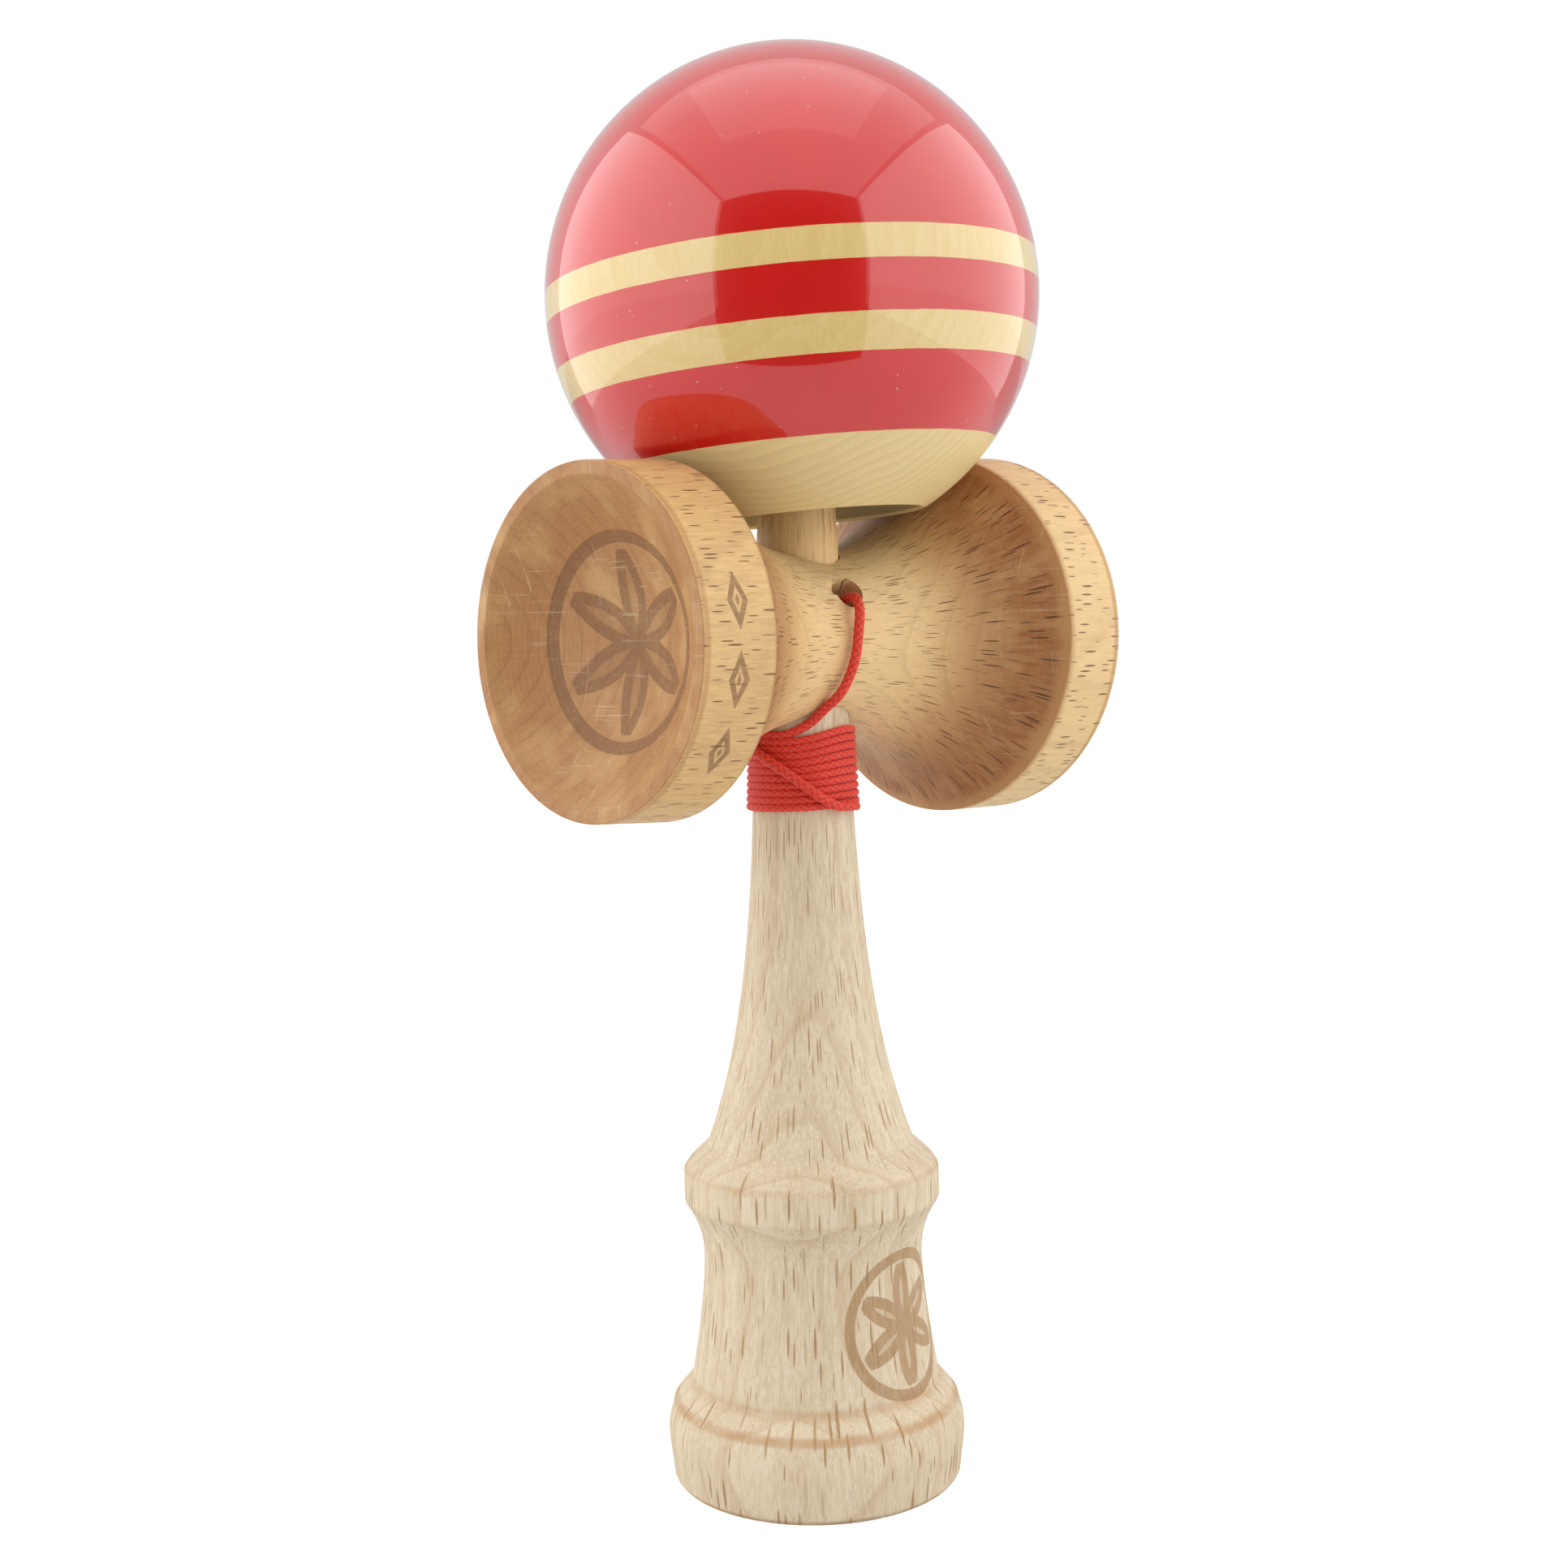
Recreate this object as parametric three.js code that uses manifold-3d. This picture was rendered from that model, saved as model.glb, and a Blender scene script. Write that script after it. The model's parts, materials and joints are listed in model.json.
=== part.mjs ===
// Kendama, a turned wooden cup-and-ball toy, standing on its base cup with the ball parked on the spike.
// Millimetres, +Z up. The base rim stands on z = 0, the handle's axis is Z and the big cup faces +X.
import * as THREE from 'three';
import { mergeVertices } from 'three/addons/utils/BufferGeometryUtils.js';
import Module from 'manifold-3d';

const wasm = await Module();
wasm.setup();

// ---- Fits ----
const CLEARANCE = 0.3;
const SEAT_GAP = 0.4;
const TURN_SEGMENTS = 48;
const SMALL_SEGMENTS = 24;

// ---- Handle: base cup, body, collar and grip ----
const BASE_RIM_INNER_RADIUS = 15.6;
const BASE_RIM_OUTER_RADIUS = 17.6;
const BASE_FOOT_RADIUS = 18.1;
const BASE_RING_RADIUS = 18.65;
const BASE_RING_TOP_RADIUS = 17.95;
const BASE_RING_HEIGHT = 9.7;
const BASE_BELLY_HEIGHT = 6.3;
const BASE_FOOT_ROUND = 0.6;
const BASE_DISH_DEPTH = 7;
const BASE_BEVEL_HEIGHT = 2.8;
const BODY_FOOT_RADIUS = 15.6;
const BODY_WAIST_RADIUS = 13.7;
const BODY_WAIST_HEIGHT = 27.8;
const BODY_TAPER_POWER = 1.5;
const COVE_POWER = 2.3;
const COLLAR_RADIUS = 16;
const COLLAR_BOTTOM_HEIGHT = 35.3;
const COLLAR_BAND = 3.8;
const COLLAR_BEVEL_HEIGHT = 3.3;
const COLLAR_EDGE_DROP = 0.7;
const COLLAR_EDGE_RISE = 1.05;
const GRIP_FOOT_RADIUS = 12.9;
const GRIP_LIMIT_RADIUS = 5.35;
const GRIP_TAPER_LENGTH = 19.8;
const SHOULDER_DROP = 6.6;
const TENON_RADIUS = 5.25;
const SPIKE_ROOT_RADIUS = 5;
const SPIKE_ROOT_RISE = 12;
const SPIKE_TIP_RADIUS = 2.6;
const SPIKE_TIP_ROUND = 2.6;

// ---- Cross-piece: a saddle-waisted spool with a cup at each end ----
const CROSS_HEIGHT = 105.06;
const CROSS_HALF_LENGTH = 33.85;
const WAIST_RADIUS = 10.3;
const BIG_CUP_RADIUS = 23.3;
const BIG_EDGE_RADIUS = 23.17;
const BIG_EDGE_OFFSET = 24.5;
const BIG_DISH_DEPTH = 9.5;
const SMALL_CUP_RADIUS = 20.44;
const SMALL_EDGE_RADIUS = 20.94;
const SMALL_EDGE_OFFSET = 23.76;
const SMALL_DISH_DEPTH = 8;
const CUP_WALL = 1.6;
const CUP_LIP_ROUND = 0.5;

// ---- String holes through the cross-piece, the handle and the ball ----
const STRING_RADIUS = 0.6;
const CROSS_HOLE_RISE_DEG = 32.4;
const CROSS_HOLE_RADIUS = 2.1;
const CROSS_HOLE_FLARE_RADIUS = 3;
const CROSS_HOLE_FLARE_DEPTH = 1.6;
const CROSS_HOLE_FLARE_SHIFT = 0.8;
const HANDLE_HOLE_RADIUS = 1.4;
const KNOT_POCKET_RADIUS = 2.05;

// ---- Ball ----
const BALL_RADIUS = 30;
const BALL_LEAN_DEG = 3.84;
const BALL_LEAN_TOWARDS_DEG = 125.5;
const BALL_MOUTH_RADIUS = 13.97;
const BALL_BEVEL_DEPTH = 2.7;
const BALL_BORE_MOUTH_RADIUS = 11.2;
const BALL_BORE_END_RADIUS = 7.6;
const BALL_BORE_CONE = 3.1;
const BALL_TOP_WALL = 7.4;
const BALL_STRING_HOLE_RADIUS = 1.5;
const BALL_STRING_FLARE_RADIUS = 3;
const BALL_STRING_FLARE_DEPTH = 1.6;

// ---- Bead, knots and the string's winding ----
const BEAD_RADIUS = 3.5;
const BEAD_BORE_CLEARANCE = 0.4;
const KNOT_RADIUS = 1.55;
const SPIKE_TIP_GAP = 1.2;
const WINDING_GAP = 0.15;
const WINDING_LAY = 0.72;
const WINDING_WIDTH = 9.74;
const WINDING_NECK_STEPS = 3;

// ---- The string's route where it isn't wound, chosen by hand ----
const LEAD_ROUTE = [
  [0, 2.2, 103.67], [0, 0, 105.06], [0, -4.2, 107.7], [0, -7.3, 109.65], [-0.4, -9.9, 110.35],
  [-0.9, -11.3, 108.6], [-1.2, -11.4, 105.9], [-1.6, -11.2, 102.8], [-2.1, -10.4, 100.1], [-2.7, -9.3, 98.1],
  [-3.4, -8.1, 96.5], [-4.4, -6.9, 95.0], [-5.8, -5.6, 94.1], [-7.2, -3.6, 93.3], [-8.0, -1.5, 92.8],
];
const RISER_ROUTE = [
  [1.7, -7.8, 84.5], [-1.5, -7.8, 84.7], [-3.5, -7.15, 85.7], [-4.85, -6.35, 86.8], [-6.1, -5.15, 88.0],
  [-7.15, -3.65, 89.2], [-7.75, -2.2, 90.1], [-8.1, -0.6, 90.9], [-8.3, 1.4, 91.6], [-7.7, 4.0, 92.5],
  [-6.3, 6.7, 94.0], [-4.5, 9.3, 96.6], [-2.9, 11.4, 100.3], [-1.7, 13.3, 105.6], [-0.9, 17.3, 113.2],
  [-0.3, 22.0, 121.8], [0, 26.85, 130.5], [0, 29.5, 136.5], [0, 31.0, 142.0], [0, 31.2, 146.0],
];
const OVER_BALL_ROUTE = [
  [0, 31.2, 146.4], [-0.1, 30.7, 151.4], [-0.3, 28.2, 159.4], [-0.6, 23.8, 166.4], [-0.9, 17.6, 171.9],
  [-1.1, 10.8, 175.5], [-1.2, 6.2, 176.85], [-1.2, 3.6, 176.95], [-1.17, 2.1, 176.2], [-1.13, 1.65, 174.8],
  [-1.01, 1.42, 172.2], [-0.86, 1.2, 168.2], [-0.72, 1.01, 164.8], [-0.6, 0.85, 161.75],
];
const STEPS_PER_POINT = 1.6;

// ---- Places that follow from the sizes above ----
const collarTopHeight = COLLAR_BOTTOM_HEIGHT + COLLAR_BAND;
const gripFootHeight = collarTopHeight + COLLAR_BEVEL_HEIGHT;
const shoulderHeight = CROSS_HEIGHT - SHOULDER_DROP;
const crossCentre = new THREE.Vector3(0, 0, CROSS_HEIGHT);
const ballSeatRadius = BALL_RADIUS + SEAT_GAP;

// Grip: the radius falls off smoothly from the collar to the neck.
function gripRadius(height) {
  const above = height - gripFootHeight;
  const flare = GRIP_FOOT_RADIUS - GRIP_LIMIT_RADIUS;
  return GRIP_LIMIT_RADIUS + flare * Math.exp(-above / GRIP_TAPER_LENGTH);
}

// Saddle: an arc that is level at the waist and meets the cup's back edge.
function saddleRadius(offset, edgeOffset, edgeRadius) {
  const rise = edgeRadius - WAIST_RADIUS;
  const arcRadius = (edgeOffset ** 2 + rise ** 2) / (2 * rise);
  return WAIST_RADIUS + arcRadius - Math.sqrt(arcRadius ** 2 - offset ** 2);
}

// Stations along the saddle, as [x, radius], from the small cup's edge to the big cup's.
function saddleStations(steps) {
  const stations = [];
  for (let i = -steps; i <= steps; i += 1) {
    const edgeOffset = i < 0 ? SMALL_EDGE_OFFSET : BIG_EDGE_OFFSET;
    const edgeRadius = i < 0 ? SMALL_EDGE_RADIUS : BIG_EDGE_RADIUS;
    const offset = (Math.abs(i) / steps) * edgeOffset;
    stations.push([Math.sign(i) * offset, saddleRadius(offset, edgeOffset, edgeRadius)]);
  }
  return stations;
}

// The ball comes to rest where its sphere, grown by the seat gap, first meets the saddle.
function ballCentreHeight() {
  const reach = saddleStations(24)
    .filter(([x]) => Math.abs(x) < ballSeatRadius)
    .map(([x, radius]) => radius + Math.sqrt(ballSeatRadius ** 2 - x ** 2));
  return CROSS_HEIGHT + Math.max(...reach);
}

// The winding is pushed up close under the saddle.
const windingRadius = gripRadius(CROSS_HEIGHT - WAIST_RADIUS - WINDING_WIDTH) + WINDING_LAY;
const saddleAboveWinding = saddleRadius(windingRadius, BIG_EDGE_OFFSET, BIG_EDGE_RADIUS);
const windingTopHeight = CROSS_HEIGHT - saddleAboveWinding - CLEARANCE;
const windingBottomHeight = windingTopHeight - WINDING_WIDTH;

const ballCentre = new THREE.Vector3(0, 0, ballCentreHeight());
const ballBoreEnd = BALL_RADIUS - BALL_TOP_WALL;
const beadCentre = ballBoreEnd - CLEARANCE - BEAD_RADIUS;
const stopperCentre = beadCentre - BEAD_RADIUS - CLEARANCE - KNOT_RADIUS;
const spikeTipHeight = ballCentre.z + stopperCentre - KNOT_RADIUS - SPIKE_TIP_GAP;
const spikeRootHeight = CROSS_HEIGHT + SPIKE_ROOT_RISE;

// The ball leans a little on the spike: its own axis, and a turn that carries +Z onto it.
const lean = THREE.MathUtils.degToRad(BALL_LEAN_DEG);
const leanTowards = THREE.MathUtils.degToRad(BALL_LEAN_TOWARDS_DEG);
const ballAxis = new THREE.Vector3(
  Math.sin(lean) * Math.cos(leanTowards),
  Math.sin(lean) * Math.sin(leanTowards),
  Math.cos(lean),
);
const ballTurn = new THREE.Quaternion().setFromUnitVectors(new THREE.Vector3(0, 0, 1), ballAxis);

// The string hole leaves the cross-piece's front upwards.
const holeRise = THREE.MathUtils.degToRad(CROSS_HOLE_RISE_DEG);
const holeAxis = new THREE.Vector3(0, -Math.cos(holeRise), Math.sin(holeRise));

// Behind the handle's axis the anchor knot sits in its pocket, just under the tenon's surface.
const tenonReach = TENON_RADIUS / Math.cos(holeRise);
const anchorDistance = -(tenonReach - KNOT_RADIUS - CLEARANCE / 2);

// ---- Shape helpers ----

// Points of a circular arc in the profile plane, angles in degrees, end points included.
function arc(centreR, centreH, radius, fromDeg, toDeg, steps) {
  const points = [];
  for (let i = 0; i <= steps; i += 1) {
    const angle = THREE.MathUtils.degToRad(fromDeg + ((toDeg - fromDeg) * i) / steps);
    points.push([centreR + radius * Math.cos(angle), centreH + radius * Math.sin(angle)]);
  }
  return points;
}

// A smooth curve through [radius, height] points.
function smooth(points, steps) {
  const curve = new THREE.SplineCurve(points.map(([radius, height]) => new THREE.Vector2(radius, height)));
  return curve.getPoints(steps).map((point) => [point.x, point.y]);
}

// A dish as [radius, height] from its centre line to its lip, with the lip at height 0.
function dish(lipRadius, depth, steps) {
  const sphereRadius = (lipRadius ** 2 + depth ** 2) / (2 * depth);
  const points = [];
  for (let i = 0; i <= steps; i += 1) {
    const radius = (lipRadius * i) / steps;
    points.push([radius, Math.sqrt(sphereRadius ** 2 - radius ** 2) - sphereRadius + depth]);
  }
  return points;
}

// Turns [radius, height] points about Z.
function turned(points, segments) {
  const profile = points.map(([radius, height]) => new THREE.Vector2(Math.max(radius, 0), height));
  const geometry = new THREE.LatheGeometry(profile, segments);
  geometry.rotateX(Math.PI / 2);
  return geometry;
}

// Closed solid of a geometry, for joining and cutting.
function toSolid(geometry) {
  const bare = geometry.clone();
  bare.deleteAttribute('normal');
  bare.deleteAttribute('uv');
  const merged = mergeVertices(bare, 1e-5);
  const vertProperties = new Float32Array(merged.attributes.position.array);
  const triVerts = new Uint32Array(merged.index.array);
  return new wasm.Manifold(new wasm.Mesh({ numProp: 3, vertProperties, triVerts }));
}

function toGeometry(solid) {
  const mesh = solid.getMesh();
  const geometry = new THREE.BufferGeometry();
  geometry.setAttribute('position', new THREE.BufferAttribute(new Float32Array(mesh.vertProperties), 3));
  geometry.setIndex(new THREE.BufferAttribute(new Uint32Array(mesh.triVerts), 1));
  geometry.computeVertexNormals();
  return geometry;
}

// A round cutter between two distances along an axis through a point.
function cutter(origin, axis, from, to, radiusFrom, radiusTo) {
  const geometry = new THREE.CylinderGeometry(radiusTo, radiusFrom, to - from, SMALL_SEGMENTS);
  geometry.translate(0, (from + to) / 2, 0);
  geometry.applyQuaternion(new THREE.Quaternion().setFromUnitVectors(new THREE.Vector3(0, 1, 0), axis));
  geometry.translate(origin.x, origin.y, origin.z);
  return toSolid(geometry);
}

// A length of string: an eight-sided section carried along a smooth curve.
function stringTube(route) {
  const points = route.map((point) => new THREE.Vector3(...point));
  const curve = new THREE.CatmullRomCurve3(points, false, 'centripetal');
  const section = new THREE.Shape();
  for (let i = 0; i < 8; i += 1) {
    const angle = (i / 8) * 2 * Math.PI;
    const point = [STRING_RADIUS * Math.cos(angle), STRING_RADIUS * Math.sin(angle)];
    if (i === 0) {
      section.moveTo(...point);
    } else {
      section.lineTo(...point);
    }
  }
  section.closePath();
  const steps = Math.round(route.length * STEPS_PER_POINT);
  return new THREE.ExtrudeGeometry(section, { steps, extrudePath: curve, bevelEnabled: false });
}

function piece(name, geometry, color, roughness) {
  const material = new THREE.MeshStandardMaterial({ color, roughness, metalness: 0 });
  const mesh = new THREE.Mesh(geometry, material);
  mesh.name = name;
  return mesh;
}

// ---- Handle ----

function baseOutline() {
  const ring = [
    [BASE_FOOT_RADIUS, BASE_FOOT_ROUND],
    [BASE_RING_RADIUS, BASE_BELLY_HEIGHT],
    [BASE_RING_TOP_RADIUS, BASE_RING_HEIGHT],
  ];
  return [
    ...dish(BASE_RIM_INNER_RADIUS, BASE_DISH_DEPTH, 8),
    [BASE_RIM_OUTER_RADIUS, 0],
    ...smooth(ring, 6),
  ];
}

// The body narrows from the base to its waist and sweeps out again in a cove under the collar.
function bodyOutline() {
  const footHeight = BASE_RING_HEIGHT + BASE_BEVEL_HEIGHT;
  const footFlare = BODY_FOOT_RADIUS - BODY_WAIST_RADIUS;
  const coveFlare = COLLAR_RADIUS - BODY_WAIST_RADIUS;
  const points = [];
  for (let t = 0; t < 0.99; t += 0.2) {
    const height = THREE.MathUtils.lerp(footHeight, BODY_WAIST_HEIGHT, t);
    points.push([BODY_WAIST_RADIUS + footFlare * (1 - t) ** BODY_TAPER_POWER, height]);
  }
  for (let i = 0; i <= 6; i += 1) {
    const t = i / 6;
    const height = THREE.MathUtils.lerp(BODY_WAIST_HEIGHT, COLLAR_BOTTOM_HEIGHT, t);
    points.push([BODY_WAIST_RADIUS + coveFlare * t ** COVE_POWER, height]);
  }
  return points;
}

function gripOutline() {
  const points = [
    [COLLAR_RADIUS, collarTopHeight],
    [COLLAR_RADIUS - COLLAR_EDGE_DROP, collarTopHeight + COLLAR_EDGE_RISE],
  ];
  for (let i = 0; i <= 12; i += 1) {
    const height = THREE.MathUtils.lerp(gripFootHeight, shoulderHeight, i / 12);
    points.push([gripRadius(height), height]);
  }
  return points;
}

function spikeOutline() {
  const noseHeight = spikeTipHeight - SPIKE_TIP_ROUND;
  return [
    [TENON_RADIUS, shoulderHeight],
    [SPIKE_ROOT_RADIUS, spikeRootHeight],
    ...arc(0, noseHeight, SPIKE_TIP_RADIUS, 0, 90, 4),
  ];
}

function ken() {
  const outline = [...baseOutline(), ...bodyOutline(), ...gripOutline(), ...spikeOutline()];
  const beyond = 2 * TENON_RADIUS;
  const hole = cutter(crossCentre, holeAxis, -TENON_RADIUS, beyond, HANDLE_HOLE_RADIUS, HANDLE_HOLE_RADIUS);
  const pocketFront = anchorDistance + KNOT_RADIUS;
  const pocket = cutter(crossCentre, holeAxis, -beyond, pocketFront, KNOT_POCKET_RADIUS, KNOT_POCKET_RADIUS);
  return toGeometry(toSolid(turned(outline, TURN_SEGMENTS)).subtract(hole).subtract(pocket));
}

// ---- Cross-piece ----

function crossOutline() {
  const smallLip = SMALL_CUP_RADIUS - CUP_WALL;
  const bigLip = BIG_CUP_RADIUS - CUP_WALL;
  const smallDish = dish(smallLip, SMALL_DISH_DEPTH, 8);
  const bigDish = dish(bigLip, BIG_DISH_DEPTH, 8).reverse();
  const saddle = saddleStations(9).map(([x, radius]) => [radius, x]);
  return [
    ...smallDish.map(([radius, depth]) => [radius, depth - CROSS_HALF_LENGTH]),
    [SMALL_CUP_RADIUS - CUP_LIP_ROUND, -CROSS_HALF_LENGTH],
    [SMALL_CUP_RADIUS, -CROSS_HALF_LENGTH + CUP_LIP_ROUND],
    ...saddle,
    [BIG_CUP_RADIUS, CROSS_HALF_LENGTH - CUP_LIP_ROUND],
    [BIG_CUP_RADIUS - CUP_LIP_ROUND, CROSS_HALF_LENGTH],
    ...bigDish.map(([radius, depth]) => [radius, CROSS_HALF_LENGTH - depth]),
  ];
}

// The stepped bore stays a clearance outside the grip's neck, its shoulder and the spike's root.
function handleBore() {
  const top = 2 * BIG_CUP_RADIUS;
  const neckRadius = Math.max(gripRadius(CROSS_HEIGHT - WAIST_RADIUS), TENON_RADIUS) + CLEARANCE;
  const tenonRadius = TENON_RADIUS + CLEARANCE;
  const stepHeight = shoulderHeight + CLEARANCE;
  const outline = [
    [0, CROSS_HEIGHT - top], [neckRadius, CROSS_HEIGHT - top], [neckRadius, stepHeight],
    [tenonRadius, stepHeight], [tenonRadius, CROSS_HEIGHT + top], [0, CROSS_HEIGHT + top],
  ];
  return toSolid(turned(outline, TURN_SEGMENTS));
}

function sarado() {
  const spool = turned(crossOutline(), TURN_SEGMENTS);
  spool.rotateY(Math.PI / 2);
  spool.translate(0, 0, CROSS_HEIGHT);
  const outside = WAIST_RADIUS * 1.5;
  const hole = cutter(crossCentre, holeAxis, 0, outside, CROSS_HOLE_RADIUS, CROSS_HOLE_RADIUS);
  const flareFoot = WAIST_RADIUS - CROSS_HOLE_FLARE_DEPTH;
  const flareSlope = (CROSS_HOLE_FLARE_RADIUS - CROSS_HOLE_RADIUS) / CROSS_HOLE_FLARE_DEPTH;
  const flareEnd = CROSS_HOLE_RADIUS + flareSlope * (outside - flareFoot);
  const flareOrigin = crossCentre.clone().add(new THREE.Vector3(-CROSS_HOLE_FLARE_SHIFT, 0, 0));
  const flare = cutter(flareOrigin, holeAxis, flareFoot, outside, CROSS_HOLE_RADIUS, flareEnd);
  return toGeometry(toSolid(spool).subtract(handleBore()).subtract(hole).subtract(flare));
}

// ---- Ball, on its own axis with its centre at the origin ----

function ballOutline() {
  const mouthAngle = -THREE.MathUtils.radToDeg(Math.acos(BALL_MOUTH_RADIUS / BALL_RADIUS));
  const topAngle = THREE.MathUtils.radToDeg(Math.acos(BALL_STRING_FLARE_RADIUS / BALL_RADIUS));
  const mouthHeight = -Math.sqrt(BALL_RADIUS ** 2 - BALL_MOUTH_RADIUS ** 2);
  const skin = arc(0, 0, BALL_RADIUS, mouthAngle, topAngle, 20);
  return [
    ...skin,
    [BALL_STRING_HOLE_RADIUS, BALL_RADIUS - BALL_STRING_FLARE_DEPTH],
    [BALL_STRING_HOLE_RADIUS, ballBoreEnd],
    [BALL_BORE_END_RADIUS, ballBoreEnd - BALL_BORE_CONE],
    [BALL_BORE_MOUTH_RADIUS, mouthHeight + BALL_BEVEL_DEPTH],
    skin[0],
  ];
}

function onBallAxis(geometry) {
  geometry.applyQuaternion(ballTurn);
  geometry.translate(ballCentre.x, ballCentre.y, ballCentre.z);
  return geometry;
}

function tama() {
  return onBallAxis(turned(ballOutline(), TURN_SEGMENTS));
}

// ---- Bead and knots ----

function bead() {
  const boreRadius = STRING_RADIUS + BEAD_BORE_CLEARANCE;
  const end = THREE.MathUtils.radToDeg(Math.acos(boreRadius / BEAD_RADIUS));
  const skin = arc(0, beadCentre, BEAD_RADIUS, -end, end, 10);
  return onBallAxis(turned([...skin, skin[0]], SMALL_SEGMENTS));
}

function knot(height) {
  return turned(arc(0, height, KNOT_RADIUS, -90, 90, 8), SMALL_SEGMENTS / 2);
}

function anchorKnot() {
  const geometry = knot(anchorDistance);
  geometry.applyQuaternion(new THREE.Quaternion().setFromUnitVectors(new THREE.Vector3(0, 0, 1), holeAxis));
  geometry.translate(crossCentre.x, crossCentre.y, crossCentre.z);
  return geometry;
}

// ---- String winding on the neck ----

function winding() {
  const outline = [];
  for (let i = 0; i <= WINDING_NECK_STEPS; i += 1) {
    const height = THREE.MathUtils.lerp(windingTopHeight, windingBottomHeight, i / WINDING_NECK_STEPS);
    outline.push([gripRadius(height) + WINDING_GAP, height]);
  }
  outline.push([windingRadius, windingBottomHeight], [windingRadius, windingTopHeight], outline[0]);
  return turned(outline, TURN_SEGMENTS);
}

const kendama = new THREE.Group();
kendama.add(
  piece('ken', ken(), 0xe0c9a3, 0.55),
  piece('sarado', sarado(), 0xdcb480, 0.5),
  piece('tama', tama(), 0xc01a15, 0.12),
  piece('bead', bead(), 0xe6cfa0, 0.5),
  piece('stopper_knot', onBallAxis(knot(stopperCentre)), 0xd8402c, 0.8),
  piece('anchor_knot', anchorKnot(), 0xd8402c, 0.8),
  piece('string_lead', stringTube(LEAD_ROUTE), 0xd8402c, 0.8),
  piece('string_winding', winding(), 0xd8402c, 0.8),
  piece('string_riser', stringTube(RISER_ROUTE), 0xd8402c, 0.8),
  piece('string_over', stringTube(OVER_BALL_ROUTE), 0xd8402c, 0.8),
);

export default kendama;
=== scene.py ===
"""Kendama: the looks of a turned wooden cup-and-ball toy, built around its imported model."""

import json
import math

import bmesh
import bpy
import numpy as np
from bpy.props import FloatProperty, FloatVectorProperty, IntProperty, PointerProperty
from bpy.types import Operator, Panel, PropertyGroup
from mathutils import Matrix, Vector


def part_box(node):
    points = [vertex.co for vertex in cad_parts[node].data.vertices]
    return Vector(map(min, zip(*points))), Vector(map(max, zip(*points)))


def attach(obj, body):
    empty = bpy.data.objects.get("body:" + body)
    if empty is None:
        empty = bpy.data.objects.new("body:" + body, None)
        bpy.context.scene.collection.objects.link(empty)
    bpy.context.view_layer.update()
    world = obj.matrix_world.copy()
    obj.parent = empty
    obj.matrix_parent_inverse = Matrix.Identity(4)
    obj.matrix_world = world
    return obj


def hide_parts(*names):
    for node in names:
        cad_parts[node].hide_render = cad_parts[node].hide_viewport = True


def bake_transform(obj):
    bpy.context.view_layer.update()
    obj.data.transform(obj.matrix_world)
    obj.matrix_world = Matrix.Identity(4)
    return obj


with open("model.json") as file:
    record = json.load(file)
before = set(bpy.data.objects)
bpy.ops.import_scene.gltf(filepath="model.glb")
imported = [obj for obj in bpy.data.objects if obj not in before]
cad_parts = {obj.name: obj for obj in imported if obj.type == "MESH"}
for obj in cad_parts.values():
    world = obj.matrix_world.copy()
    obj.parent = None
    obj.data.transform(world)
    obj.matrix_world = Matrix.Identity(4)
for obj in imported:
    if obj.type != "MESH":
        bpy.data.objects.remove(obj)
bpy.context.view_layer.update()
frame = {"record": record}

bl_info = {
    "name": "Kendama",
    "version": (1, 0, 0),
    "blender": (4, 5, 0),
    "location": "View3D > Sidebar > Kendama",
    "description": "Turned beech handle and cross-piece, lacquered ball and braided string",
    "category": "Add Mesh",
}

MM = 0.001
MM_PER_METRE = (1000.0, 1000.0, 1000.0)
UP = Vector((0, 0, 1))

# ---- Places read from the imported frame, in millimetres ----


def extent(*nodes):
    """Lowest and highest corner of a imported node."""
    return [Vector(corner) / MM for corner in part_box(*nodes)]


JOINTS = {joint["name"]: joint for joint in frame["record"]["behaviour"]["joints"]}
BALL_CENTRE = Vector(JOINTS["ball_spin"]["pos_m"]) / MM
BALL_AXIS = Vector(JOINTS["ball_spin"]["axis"]).normalized()
HANDLE_LOW, HANDLE_HIGH = extent("ken")
CROSS_LOW, CROSS_HIGH = extent("sarado")
BALL_LOW, BALL_HIGH = extent("tama")
CROSS_HEIGHT = (CROSS_LOW.z + CROSS_HIGH.z) / 2
CROSS_HALF_LENGTH = (CROSS_HIGH.x - CROSS_LOW.x) / 2
BIG_CUP_RADIUS = (CROSS_HIGH.z - CROSS_LOW.z) / 2
BALL_RADIUS = (BALL_HIGH.x - BALL_LOW.x) / 2
BASE_RING_RADIUS = (HANDLE_HIGH.x - HANDLE_LOW.x) / 2
SPIKE_TIP_HEIGHT = HANDLE_HIGH.z

# ---- The string's route in millimetres, the solid model's points from the knot in the handle ----

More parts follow.
